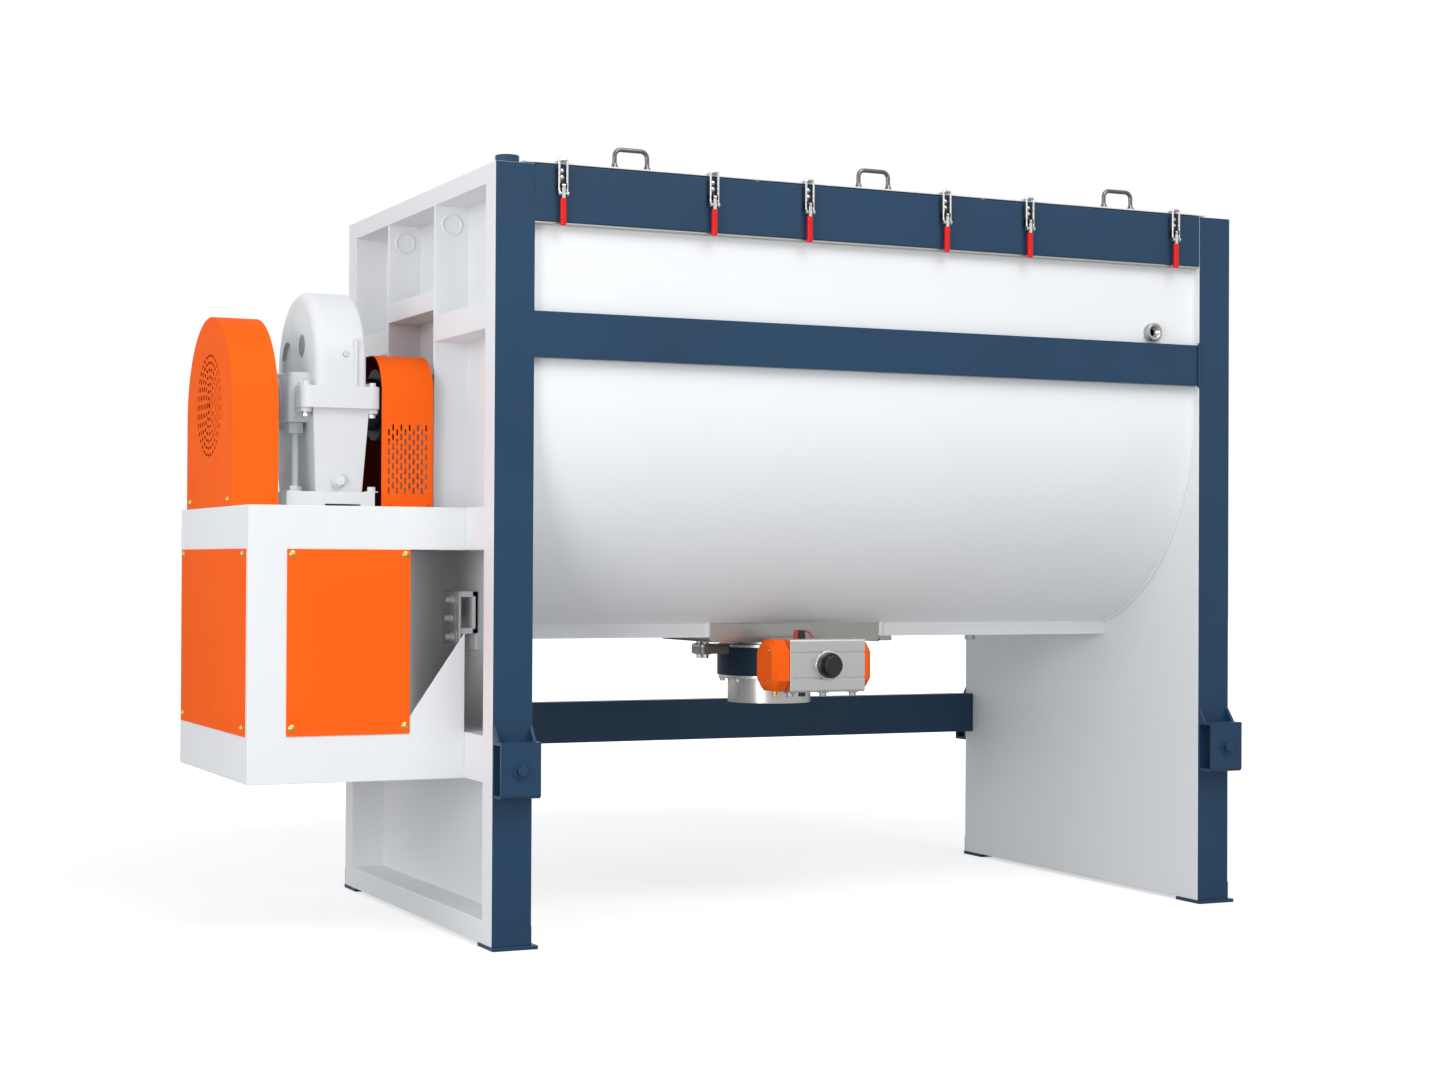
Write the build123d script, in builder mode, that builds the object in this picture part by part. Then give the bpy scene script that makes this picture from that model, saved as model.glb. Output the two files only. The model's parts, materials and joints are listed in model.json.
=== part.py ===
from build123d import *
import os
from math import asin, cos, pi, sin, sqrt

# Driving sizes in millimetres. +Z is up, +X runs along the shaft away from the drive,
# -Y is the working side with the clamps, and the origin is on the floor under the middle.

# Trough, jacket and rim
trough_length = 2062.0
trough_radius = 570.0
trough_wall = 8.0
jacket_gap = 44.0
jacket_wall = 6.0
shaft_height = 1415.0
freeboard = 15.0
rim_strip = 10.0
keel_half_width = 175.0
keel_drop = 15.0
seat_gap = 0.3

# Welded end frames, beams, feet and brackets
post_width = 107.0
post_depth = 75.0
post_wall = 6.0
end_plate = 10.0
top_rail = 50.0
bottom_rail = 60.0
rib_thickness = 10.0
front_rib_y = -163.0
rear_rib_y = 255.0
middle_bar_drop = 278.0
middle_bar_height = 55.0
side_bar_drop = 350.0
side_bar_height = 70.0
sleeve_drop = 100.0
sleeve_radius = 29.0
sleeve_ring = 4.0
sleeve_proud = 5.0
beam_depth = 27.0
beam_wall = 4.0
top_beam_height = 145.0
middle_beam_height = 118.0
middle_beam_rise = 92.0
bottom_beam_height = 128.0
bottom_beam_depth = 50.0
bottom_beam_z = 420.0
foot_thickness = 10.0
foot_overhang = 16.0
foot_toe = 8.0
foot_depth = 115.0
post_cap_radius = 31.0
post_cap_height = 20.0
post_cap_inset = 13.0
bracket_reach = 65.0
bracket_height = 142.0
bracket_z = 388.0
bracket_wall = 8.0
bracket_bend = 12.0
gusset_height = 38.0
gusset_reach = 30.0
gusset_thickness = 8.0

# Drive box, its panels and the two guards
drive_box_reach = 572.0
drive_box_front = 437.0
drive_box_rear = 328.0
drive_box_height = 705.0
drive_box_wall = 6.0
deck_thickness = 8.0
deck_drop = 290.0
top_band = 111.0
bottom_band = 120.0
corner_stile = 99.0
opening_width = 149.0
opening_gusset_low = 42.0
opening_gusset_high = 258.0
panel_sheet = 3.0
panel_lap = 15.0
end_panel_margin = 20.0
guard_depth = 121.0
guard_sheet = 2.0
guard_side_room = 62.0
guard_arch_drop = 43.0
guard_disc_drop = 17.0
guard_slot_length = 16.0
guard_slot_width = 8.0
guard_slot_pitch = 25.0
guard_ring_step = 19.0
guard_ring_count = 7
coupling_guard_length = 144.0
coupling_guard_setback = 13.0
coupling_guard_half_width = 205.0
coupling_guard_rise = 126.0
coupling_guard_bend = 105.0
vent_rise = 133.0
vent_slot_length = 17.0
vent_slot_width = 5.0
vent_pitch = 11.5
vent_row_pitch = 26.0
vent_columns = 5
vent_rows = 7

# Motor, belts and gear reducer
belt_centres = 615.0
motor_radius = 120.0
motor_length = 330.0
motor_setback = 75.0
motor_shield = 41.0
motor_end_boss = 20.0
motor_fan_cover = 62.0
motor_fin_depth = 12.0
motor_fin_count = 24
motor_fin_width = 6.0
motor_foot_drop = 160.0
motor_foot_gap = 80.0
motor_foot_rise = 100.0
terminal_box_length = 123.0
terminal_box_width = 120.0
terminal_box_rise = 60.0
stand_plate = 12.0
motor_shaft_radius = 21.0
motor_shaft_seat = 90.0
motor_pulley_radius = 70.0
driven_pulley_radius = 200.0
pulley_width = 54.0
pulley_setback = 32.0
pulley_web = 18.0
pulley_rim = 34.0
pulley_hub_radius = 56.0
belt_width = 17.0
belt_thickness = 11.0
belt_spacing = 24.0
belt_side_room = 0.5
belt_proud = 0.5
groove_room = 3.0
reducer_setback = 163.0
reducer_flange_length = 215.0
reducer_flange_half_depth = 222.0
reducer_flange_low = 26.0
reducer_flange_high = 32.0
reducer_corner = 26.0
reducer_body_length = 138.0
reducer_body_setback = 36.0
reducer_arch_radius = 205.0
reducer_arch_rise = 92.0
reducer_crest_round = 30.0
reducer_back_round = 12.0
reducer_recess_radius = 52.0
reducer_recess_y = 92.0
reducer_recess_low = 44.0
reducer_recess_depth = 12.0
housing_half_depth = 150.0
housing_rise = 70.0
housing_drop = 62.0
housing_corner = 14.0
reducer_column_half_depth = 185.0
reducer_column_length = 126.0
reducer_foot_length = 238.0
reducer_foot_setback = 18.0
reducer_foot_half_depth = 225.0
reducer_foot_height = 42.0
reducer_foot_gap_length = 96.0
reducer_foot_gap_height = 10.0
input_boss_radius = 78.0
input_boss_length = 58.0
output_boss_radius = 88.0
output_boss_length = 30.0
input_shaft_radius = 28.0
lifting_pocket_radius = 31.0
lifting_pocket_depth = 24.0
lifting_pocket_y = -60.0
lifting_pocket_rise = 148.0

# Agitator, bearings and seals
shaft_radius = 45.0
running_clearance = 0.05
ribbon_clearance = 12.0
ribbon_width = 60.0
ribbon_thickness = 10.0
ribbon_end_room = 71.0
ribbon_end_trim = 5.0
inner_ribbon_radius = 330.0
inner_ribbon_width = 50.0
arm_radius = 18.0
arm_hole_clearance = 0.1
weld_gap = 0.3
bearing_side = 190.0
bearing_flange = 22.0
bearing_boss_radius = 72.0
bearing_length = 58.0
bearing_corner = 24.0
seal_radius = 78.0
seal_length = 12.0
seal_round = 4.0
shaft_end_inset = 20.0
coupling_radius = 98.0
coupling_hub_radius = 72.0
coupling_flange = 24.0
coupling_spider = 16.0
coupling_hub_length = 34.0
spider_inset = 8.0

# Lids, hinges, handles and clamps
gasket_height = 4.0
gasket_width = 24.0
lid_sheet = 4.0
lid_lap = 27.0
lid_gap = 6.0
lid_front_inset = 5.0
gasket_inset = 3.0
lid_rear_inset = 55.0
middle_lid_length = 700.0
middle_lid_offset = -43.0
divider_width = 60.0
divider_depth = 20.0
stiffener_depth = 14.0
stiffener_width = 40.0
stiffener_inset = 70.0
hinge_spread = 190.0
hinge_pin_radius = 6.0
knuckle_radius = 11.0
knuckle_half_width = 12.0
hinge_ear = 6.0
hinge_ear_gap = 0.5
hinge_axis_inset = 33.0
hinge_axis_rise = 12.0
hinge_base = 3.0
strap_length = 70.0
strap_thickness = 4.0
handle_offsets = (-25.5, 13.0, 87.5)
handle_span = 92.0
handle_height = 58.0
handle_rod_radius = 6.0
handle_bend = 18.0
handle_setback = 40.0
handle_plate_length = 136.0
handle_plate_width = 28.0
handle_plate_thickness = 3.0
clamp_end_insets = ((98.0, 141.0), (141.0, 134.0), (135.0, 120.0))
clamp_base_width = 32.0
clamp_base_height = 62.0
clamp_base_sheet = 4.0
clamp_base_drop = 8.0
clamp_ear = 2.5
clamp_ear_height = 20.0
clamp_ear_round = 8.0
clamp_lever_width = 9.4
clamp_ear_room = 0.3
clamp_pin_radius = 3.0
clamp_pin_standoff = 13.0
clamp_pin_drop = 54.0
clamp_throw = 20.0
clamp_lever_thickness = 9.0
clamp_grip_width = 15.0
clamp_grip_depth = 14.0
clamp_grip_length = 70.0
clamp_grip_start = 12.0
clamp_grip_round = 4.6
clamp_grip_end = 3.5
clamp_lever_eye = 6.0
bail_rod_radius = 3.0
bail_half_span = 11.0
bail_eye_radius = 6.5
bail_eye_width = 5.2
bail_bend = 6.0
bail_over_lid = 4.0
keeper_width = 30.0
keeper_sheet = 3.0
keeper_length = 40.0
keeper_lip = 9.0
keeper_room = 0.6

# Outlet, valve and actuator
outlet_offset = -38.0
pan_length = 551.0
pan_height = 58.0
pan_drop = 15.0
pan_sheet = 4.0
pan_corner = 12.0
outlet_radius = 123.0
outlet_wall = 4.0
neck_length = 20.0
neck_flange_radius = 150.0
neck_flange_thickness = 10.0
flange_ear_reach = 240.0
flange_ear_half_depth = 38.0
flange_ear_corner = 12.0
valve_ear_thickness = 18.0
valve_radius = 154.5
valve_length = 81.0
valve_seat_wall = 5.0
valve_disc_thickness = 14.0
valve_disc_clearance = 0.3
valve_stem_radius = 11.0
valve_stem_blind = 20.0
spout_length = 81.0
spout_flange_radius = 150.0
spout_flange_thickness = 10.0
valve_pad_radius = 36.0
actuator_standoff = 250.0
actuator_depth = 130.0
actuator_length = 238.0
actuator_height = 151.0
actuator_offset = -2.0
actuator_groove = 4.0
actuator_groove_rise = 36.0
actuator_corner = 8.0
left_cap_length = 50.0
right_cap_length = 27.0
cap_chamfer = 30.0
cap_end_chamfer = 15.0
cap_inset = 3.0
knob_radius = 36.0
knob_length = 18.0
knob_grip_radius = 27.5
knob_grip_length = 18.0
knob_edge = 3.0
valve_pad_width = 90.0
valve_pad_depth = 30.0

# Jacket fittings
port_from_right = 151.0
port_rise = 243.0
port_radius = 26.0
port_bore_radius = 16.6
port_hole_radius = 14.0
port_length = 22.0
drain_from_right = 378.0
drain_flat = 28.0
drain_length = 20.0

# Places worked out from the driving sizes
jacket_inner = trough_radius + trough_wall + jacket_gap
jacket_outer = jacket_inner + jacket_wall
half_depth = jacket_outer + beam_depth
rim_z = shaft_height + trough_radius + freeboard
keel_z = shaft_height - jacket_outer - keel_drop
left_reach = drive_box_reach + panel_sheet
right_reach = trough_length + 2 * post_width + foot_overhang
x_left = (left_reach - right_reach) / 2
x_trough = x_left + post_width
x_trough_end = x_trough + trough_length
x_right = x_trough_end + post_width
x_mid = (x_trough + x_trough_end) / 2
x_valve = x_mid + outlet_offset
deck_z = shaft_height - deck_drop
box_z = deck_z - drive_box_height
box_x = x_left - drive_box_reach
motor_z = shaft_height - belt_centres
pan_top = keel_z - pan_drop + pan_height
valve_top = keel_z - pan_drop - neck_length
valve_z = valve_top - valve_length / 2
valve_bottom = valve_top - valve_length
lid_z = rim_z + gasket_height
lid_top = lid_z + lid_sheet
hinge_y = half_depth - hinge_axis_inset
hinge_z = lid_z + hinge_axis_rise
clamp_y = -half_depth - clamp_pin_standoff
lever_pin_z = rim_z - clamp_pin_drop
bail_pin_z = lever_pin_z - clamp_throw
bail_top_z = lid_top + bail_over_lid
ribbon_radius = trough_radius - ribbon_clearance
ribbon_pitch = trough_length / 2 - ribbon_end_room
rod_axis = (0, 90, 0)
stem_axis = (90, 0, 0)

os.makedirs("parts", exist_ok=True)


def block(x, y, z, mode=Mode.ADD):
    """A box in the open part from its two limits on each axis."""
    with Locations(((x[0] + x[1]) / 2, (y[0] + y[1]) / 2, (z[0] + z[1]) / 2)):
        Box(abs(x[1] - x[0]), abs(y[1] - y[0]), abs(z[1] - z[0]), mode=mode)


def rod(radius, x, y, z, mode=Mode.ADD):
    """A round bar along X in the open part, between two places on X."""
    with Locations(((x[0] + x[1]) / 2, y, z)):
        Cylinder(radius, abs(x[1] - x[0]), rotation=rod_axis, mode=mode)


def stem(radius, x, y, z, mode=Mode.ADD):
    """A round bar along Y in the open part, between two places on Y."""
    with Locations((x, (y[0] + y[1]) / 2, z)):
        Cylinder(radius, abs(y[1] - y[0]), rotation=stem_axis, mode=mode)


def upright(radius, x, y, z, mode=Mode.ADD):
    """A round bar along Z in the open part, between two heights."""
    with Locations((x, y, (z[0] + z[1]) / 2)):
        Cylinder(radius, abs(z[1] - z[0]), mode=mode)


# Welded end frames: a plate on the trough side in a deep rim, with ribs and cross bars
def end_frame(x_inner, outward, carries_drive):
    x_outer = x_inner + outward * post_width
    x_plate = x_inner + outward * end_plate
    x_rim = (x_inner, x_outer)
    x_rib = (x_plate, x_outer)
    inside = half_depth - post_depth
    shaft_hole = shaft_radius + seat_gap
    with BuildPart() as frame:
        block((x_inner, x_plate), (-half_depth, half_depth), (foot_thickness, rim_z))
        for side in (-1, 1):
            block(x_rim, (side * half_depth, side * inside), (foot_thickness, rim_z))
        block(x_rim, (-inside, inside), (rim_z - top_rail, rim_z))
        block(x_rim, (-inside, inside), (foot_thickness, foot_thickness + bottom_rail))
        for rib_y in (front_rib_y, rear_rib_y):
            rib = (rib_y - rib_thickness / 2, rib_y + rib_thickness / 2)
            block(x_rib, rib, (deck_z, rim_z - top_rail))
            sleeve_z = rim_z - sleeve_drop
            sleeve_x = (x_plate + x_outer) / 2
            ring_y = (rib[0] - sleeve_proud, rib[0])
            stem(sleeve_radius, sleeve_x, ring_y, sleeve_z)
            stem(sleeve_radius - sleeve_ring, sleeve_x, ring_y, sleeve_z, Mode.SUBTRACT)
        bar = (rim_z - middle_bar_drop - middle_bar_height, rim_z - middle_bar_drop)
        block(x_rib, (front_rib_y, rear_rib_y), bar)
        bar = (rim_z - side_bar_drop - side_bar_height, rim_z - side_bar_drop)
        block(x_rib, (-inside, front_rib_y), bar)
        block(x_rib, (rear_rib_y, inside), bar)
        block(x_rib, (-inside, inside), (deck_z - top_band, deck_z))
        block(x_rib, (-inside, inside), (box_z, box_z + bottom_band))
        if carries_drive:
            post_top = (rim_z, rim_z + post_cap_height)
            cap_x = x_outer - outward * (post_cap_inset + post_cap_radius)
            upright(post_cap_radius, cap_x, -half_depth + post_depth / 2, post_top)
        for side in (-1, 1):
            hollow_y = (side * (half_depth - post_wall), side * (inside + post_wall))
            hollow_x = (x_inner + outward * post_wall, x_outer - outward * post_wall)
            block(hollow_x, hollow_y, (foot_thickness, rim_z - post_wall), Mode.SUBTRACT)
        rod(shaft_hole, x_rim, 0, shaft_height, Mode.SUBTRACT)
    return frame


end_frame_left = end_frame(x_trough, -1, True)
end_frame_left.part.label = "end_frame_left"
export_step(end_frame_left.part, "parts/end_frame_left.step")

end_frame_right = end_frame(x_trough_end, 1, False)
end_frame_right.part.label = "end_frame_right"
export_step(end_frame_right.part, "parts/end_frame_right.step")

# Foot plates under the four posts
with BuildPart() as foot_plates:
    for foot_x in (x_left, x_trough_end):
        foot = (foot_x, foot_x + post_width + foot_overhang)
        for side in (-1, 1):
            toe = side * (half_depth + foot_toe)
            block(foot, (toe, toe - side * foot_depth), (0, foot_thickness))
foot_plates.part.label = "foot_plates"
export_step(foot_plates.part, "parts/foot_plates.step")

# Folded brackets on the posts, open at both sides, with two gussets above each
bracket_top = bracket_z + bracket_height
with BuildPart() as post_brackets:
    for bracket_x in (x_left, x_trough_end):
        for side in (-1, 1):
            with BuildSketch(Plane.YZ.offset(bracket_x)) as fold:
                with Locations((side * (half_depth + bracket_reach / 2), bracket_z + bracket_height / 2)):
                    Rectangle(bracket_reach, bracket_height)
                outer_corners = fold.vertices().sort_by(Axis.Y, reverse=side > 0)[:2]
                fillet(outer_corners, radius=bracket_bend)
                pocket_reach = bracket_reach - 2 * bracket_wall
                pocket_height = bracket_height - 2 * bracket_wall
                with Locations((side * (half_depth + bracket_reach / 2), bracket_z + bracket_height / 2)):
                    Rectangle(pocket_reach, pocket_height, mode=Mode.SUBTRACT)
            extrude(amount=post_width)
            for gusset_x in (bracket_x, bracket_x + post_width - gusset_thickness):
                with BuildSketch(Plane.YZ.offset(gusset_x)):
                    with BuildLine():
                        Polyline(
                            (side * half_depth, bracket_top),
                            (side * (half_depth + gusset_reach), bracket_top),
                            (side * half_depth, bracket_top + gusset_height),
                            close=True,
                        )
                    make_face()
                extrude(amount=gusset_thickness)
post_brackets.part.label = "post_brackets"
export_step(post_brackets.part, "parts/post_brackets.step")


# Hollow beams between the end frames
def beam(y, z):
    with BuildPart() as bar:
        block((x_trough, x_trough_end), y, z)
        inner_y = (min(y) + beam_wall, max(y) - beam_wall)
        block((x_trough, x_trough_end), inner_y, (z[0] + beam_wall, z[1] - beam_wall), Mode.SUBTRACT)
    return bar


front_skin = (-half_depth, -jacket_outer)
rear_skin = (jacket_outer, half_depth)
top_beam_z = (rim_z - top_beam_height, rim_z)
middle_beam_z = (shaft_height + middle_beam_rise, shaft_height + middle_beam_rise + middle_beam_height)
bottom_beam_y = (half_depth - bottom_beam_depth, half_depth)

front_top_beam = beam(front_skin, top_beam_z)
front_top_beam.part.label = "front_top_beam"
export_step(front_top_beam.part, "parts/front_top_beam.step")

front_middle_beam = beam(front_skin, middle_beam_z)
front_middle_beam.part.label = "front_middle_beam"
export_step(front_middle_beam.part, "parts/front_middle_beam.step")

with BuildPart() as rear_beams:
    add(beam(rear_skin, top_beam_z).part)
    add(beam(rear_skin, middle_beam_z).part)
    add(beam(bottom_beam_y, (bottom_beam_z, bottom_beam_z + bottom_beam_height)).part)
rear_beams.part.label = "rear_beams"
export_step(rear_beams.part, "parts/rear_beams.step")

# Inner trough: a U of plate with the outlet hole at its lowest line
with BuildPart() as trough_shell:
    with BuildSketch(Plane.YZ.offset(x_trough)):
        for radius, cut in ((trough_radius + trough_wall, Mode.ADD), (trough_radius, Mode.SUBTRACT)):
            with Locations((0, shaft_height)):
                Circle(radius, mode=cut)
            with Locations((0, (shaft_height + rim_z) / 2)):
                Rectangle(2 * radius, rim_z - shaft_height, mode=cut)
        with Locations((0, rim_z + trough_radius)):
            Rectangle(4 * trough_radius, 2 * trough_radius, mode=Mode.SUBTRACT)
    extrude(amount=trough_length)
    upright(outlet_radius - outlet_wall, x_valve, 0, (keel_z, shaft_height), Mode.SUBTRACT)
trough_shell.part.label = "trough_shell"
export_step(trough_shell.part, "parts/trough_shell.step")

# Outer jacket: a wider U with a flat keel, closed to the trough at the rim
pan_x = (x_valve - pan_length / 2, x_valve + pan_length / 2)
port_x = x_trough_end - port_from_right
port_z = shaft_height + port_rise
with BuildPart() as jacket_shell:
    with BuildSketch(Plane.YZ.offset(x_trough)):
        for radius, inset, cut in ((jacket_outer, 0, Mode.ADD), (jacket_inner, jacket_wall, Mode.SUBTRACT)):
            with Locations((0, shaft_height)):
                Circle(radius, mode=cut)
            with Locations((0, (shaft_height + rim_z) / 2)):
                Rectangle(2 * radius, rim_z - shaft_height, mode=cut)
            with Locations((0, (keel_z + inset + shaft_height) / 2)):
                Rectangle(2 * (keel_half_width - inset), shaft_height - keel_z - inset, mode=cut)
        for side in (-1, 1):
            with Locations((side * (jacket_inner - jacket_gap / 2), rim_z - rim_strip / 2)):
                Rectangle(jacket_gap, rim_strip)
        with Locations((0, rim_z + jacket_outer)):
            Rectangle(4 * jacket_outer, 2 * jacket_outer, mode=Mode.SUBTRACT)
    extrude(amount=trough_length)
    block(pan_x, (-keel_half_width, keel_half_width), (keel_z - keel_drop, pan_top), Mode.SUBTRACT)
    stem(port_hole_radius, port_x, (-jacket_outer, -jacket_inner), port_z, Mode.SUBTRACT)
jacket_shell.part.label = "jacket_shell"
export_step(jacket_shell.part, "parts/jacket_shell.step")

# Jacket fittings: a threaded half coupling on the front wall and a hexagon drain plug below
with BuildPart() as jacket_fittings:
    stem(port_radius, port_x, (-jacket_outer, -jacket_outer - port_length), port_z)
    stem(port_bore_radius, port_x, (-jacket_outer, -jacket_outer - port_length), port_z, Mode.SUBTRACT)
    with BuildSketch(Plane.XY.offset(keel_z - drain_length)):
        with Locations((x_trough_end - drain_from_right, 0)):
            RegularPolygon(drain_flat / 2, 6, major_radius=False)
    extrude(amount=drain_length)
jacket_fittings.part.label = "jacket_fittings"
export_step(jacket_fittings.part, "parts/jacket_fittings.step")


def flange_ears(z):
    """A bar with round corners across the outlet, whose ends are the bolt ears."""
    with BuildPart() as bar:
        ear_x = (x_valve - flange_ear_reach, x_valve + flange_ear_reach)
        block(ear_x, (-flange_ear_half_depth, flange_ear_half_depth), z)
        fillet(bar.edges().filter_by(Axis.Z), radius=flange_ear_corner)
    return bar.part


# Outlet: a shallow pan in the keel with a round neck and the flange that carries the valve
pan_floor = keel_z - pan_drop
with BuildPart() as outlet_pan:
    with BuildSketch(Plane.XY.offset(pan_floor)):
        with Locations((x_valve, 0)):
            Rectangle(pan_length, 2 * keel_half_width)
    extrude(amount=pan_height)
    with BuildSketch(Plane.XY.offset(pan_floor + pan_sheet)):
        with Locations((x_valve, 0)):
            Rectangle(pan_length - 2 * pan_sheet, 2 * (keel_half_width - pan_sheet))
    extrude(amount=pan_height, mode=Mode.SUBTRACT)
    floor_ends = outlet_pan.edges().filter_by(Axis.Y).group_by(Axis.Z)[0]
    fillet(floor_ends, radius=min(pan_corner, 3 * pan_sheet))
    upright(outlet_radius, x_valve, 0, (valve_top, shaft_height - trough_radius))
    upright(neck_flange_radius, x_valve, 0, (valve_top, valve_top + neck_flange_thickness))
    add(flange_ears((valve_top, valve_top + neck_flange_thickness)))
    upright(outlet_radius - outlet_wall, x_valve, 0, (valve_top, shaft_height), Mode.SUBTRACT)
    rod(trough_radius + trough_wall + seat_gap, (x_trough, x_trough_end), 0, shaft_height, Mode.SUBTRACT)
outlet_pan.part.label = "outlet_pan"
export_step(outlet_pan.part, "parts/outlet_pan.step")

# Butterfly valve body, its elastomer seat and the spout below it
pad_front = -actuator_standoff
with BuildPart() as valve_body:
    upright(valve_radius, x_valve, 0, (valve_bottom, valve_top))
    add(flange_ears((valve_top - valve_ear_thickness, valve_top)))
    stem(valve_pad_radius, x_valve, (0, pad_front + valve_pad_depth), valve_z)
    pad_x = (x_valve - valve_pad_width / 2, x_valve + valve_pad_width / 2)
    pad_z = (valve_z - valve_pad_radius, valve_z + valve_pad_radius)
    block(pad_x, (pad_front, pad_front + valve_pad_depth), pad_z)
    upright(outlet_radius, x_valve, 0, (valve_bottom, valve_top), Mode.SUBTRACT)
    stem(valve_stem_radius + running_clearance, x_valve, (pad_front, 0), valve_z, Mode.SUBTRACT)
    rear_blind = outlet_radius + valve_stem_blind
    stem(valve_stem_radius + running_clearance, x_valve, (0, rear_blind), valve_z, Mode.SUBTRACT)
valve_body.part.label = "valve_body"
export_step(valve_body.part, "parts/valve_body.step")

seat_radius = outlet_radius - valve_seat_wall
with BuildPart() as valve_seat:
    upright(outlet_radius, x_valve, 0, (valve_bottom, valve_top))
    upright(seat_radius, x_valve, 0, (valve_bottom, valve_top), Mode.SUBTRACT)
    seat_hole = (-outlet_radius, outlet_radius)
    stem(valve_stem_radius + running_clearance, x_valve, seat_hole, valve_z, Mode.SUBTRACT)
valve_seat.part.label = "valve_seat"
export_step(valve_seat.part, "parts/valve_seat.step")

with BuildPart() as valve_spout:
    upright(outlet_radius, x_valve, 0, (valve_bottom - spout_length, valve_bottom))
    upright(spout_flange_radius, x_valve, 0, (valve_bottom - spout_flange_thickness, valve_bottom))
    bore = (valve_bottom - spout_length, valve_bottom)
    upright(outlet_radius - outlet_wall, x_valve, 0, bore, Mode.SUBTRACT)
valve_spout.part.label = "valve_spout"
export_step(valve_spout.part, "parts/valve_spout.step")

# Valve disc with its through stem, closed at rest
actuator_front = -actuator_standoff - actuator_depth
with BuildPart() as valve_disc:
    disc_z = (valve_z - valve_disc_thickness / 2, valve_z + valve_disc_thickness / 2)
    upright(seat_radius - valve_disc_clearance, x_valve, 0, disc_z)
    stem(valve_stem_radius, x_valve, (actuator_front, outlet_radius + valve_stem_blind - seat_gap), valve_z)
valve_disc.part.label = "valve_disc"
export_step(valve_disc.part, "parts/valve_disc.step")

# Rack and pinion actuator: extruded body with grooves, two chamfered end caps and a knob
actuator_x = x_valve + actuator_offset
body_x = (actuator_x - actuator_length / 2, actuator_x + actuator_length / 2)
with BuildPart() as actuator_body:
    with BuildSketch(Plane.YZ.offset(body_x[0])):
        with Locations(((actuator_front - actuator_standoff) / 2, valve_z)):
            RectangleRounded(actuator_depth, actuator_height, actuator_corner)
        for level in (-1, 1):
            with Locations((actuator_front, valve_z + level * actuator_groove_rise)):
                Rectangle(2 * actuator_groove, actuator_groove, mode=Mode.SUBTRACT)
    extrude(amount=actuator_length)
    stem_hole = (actuator_front, -actuator_standoff)
    stem(valve_stem_radius + running_clearance, x_valve, stem_hole, valve_z, Mode.SUBTRACT)
actuator_body.part.label = "actuator_body"
export_step(actuator_body.part, "parts/actuator_body.step")

cap_height = actuator_height - 2 * cap_inset
cap_depth = actuator_depth - 2 * cap_inset
with BuildPart() as actuator_caps:
    for start, length, outward in ((body_x[0], left_cap_length, -1), (body_x[1], right_cap_length, 1)):
        with BuildSketch(Plane.YZ.offset(start)):
            with Locations(((actuator_front - actuator_standoff) / 2, valve_z)):
                Rectangle(cap_depth, cap_height)
            chamfer(vertices(), length=cap_chamfer)
        extrude(amount=outward * length)
    cap_ends = actuator_caps.faces().filter_by(Axis.X).sort_by(Axis.X)
    chamfer(cap_ends[0].edges() + cap_ends[-1].edges(), length=cap_end_chamfer)
actuator_caps.part.label = "actuator_caps"
export_step(actuator_caps.part, "parts/actuator_caps.step")

with BuildPart() as actuator_knob:
    stem(knob_radius, x_valve, (actuator_front - seat_gap, actuator_front - knob_length), valve_z)
    fillet(actuator_knob.faces().sort_by(Axis.Y)[0].edges(), radius=knob_edge)
    grip_start = actuator_front - knob_length
    stem(knob_grip_radius, x_valve, (grip_start, grip_start - knob_grip_length), valve_z)
    fillet(actuator_knob.faces().sort_by(Axis.Y)[0].edges(), radius=knob_edge)
actuator_knob.part.label = "actuator_knob"
export_step(actuator_knob.part, "parts/actuator_knob.step")

# Drive box: a plate box with windows behind the panels and an open bay beside the end frame
box_y = (-drive_box_front, drive_box_rear)
window_z = (box_z + bottom_band, deck_z - top_band)
bay_x = x_left - opening_width
pulley_x = box_x + pulley_setback
with BuildPart() as drive_box:
    block((box_x, x_left), box_y, (box_z, deck_z))
    hollow_y = (box_y[0] + drive_box_wall, box_y[1] - drive_box_wall)
    hollow_z = (box_z + drive_box_wall, deck_z - deck_thickness)
    block((box_x + drive_box_wall, x_left), hollow_y, hollow_z, Mode.SUBTRACT)
    lap_x = (box_x + corner_stile + panel_lap, bay_x - panel_lap)
    lap_z = (window_z[0] + panel_lap, window_z[1] - panel_lap)
    block(lap_x, box_y, lap_z, Mode.SUBTRACT)
    block((bay_x, x_left), box_y, window_z, Mode.SUBTRACT)
    end_window = (box_y[0] + end_panel_margin + panel_lap, box_y[1] - end_panel_margin - panel_lap)
    block((box_x, box_x + drive_box_wall), end_window, lap_z, Mode.SUBTRACT)
    slot_x = (pulley_x - belt_spacing, pulley_x + pulley_width + belt_spacing)
    slot_y = driven_pulley_radius
    block(slot_x, (-slot_y, slot_y), (deck_z - deck_thickness, deck_z), Mode.SUBTRACT)
    for face_y in (box_y[0], box_y[1] - drive_box_wall):
        with BuildSketch(Plane.XZ.offset(-face_y)):
            with BuildLine():
                Polyline(
                    (bay_x, window_z[0]),
                    (x_left, window_z[0]),
                    (x_left, window_z[0] + opening_gusset_high),
                    (bay_x, window_z[0] + opening_gusset_low),
                    close=True,
                )
            make_face()
        extrude(amount=-drive_box_wall)
drive_box.part.label = "drive_box_frame"
export_step(drive_box.part, "parts/drive_box_frame.step")

# Sheet panels over the windows of the drive box
with BuildPart() as drive_side_panels:
    panel_x = (box_x + corner_stile, bay_x)
    block(panel_x, (box_y[0] - panel_sheet, box_y[0]), window_z)
    block(panel_x, (box_y[1], box_y[1] + panel_sheet), window_z)
drive_side_panels.part.label = "drive_side_panels"
export_step(drive_side_panels.part, "parts/drive_side_panels.step")

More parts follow.
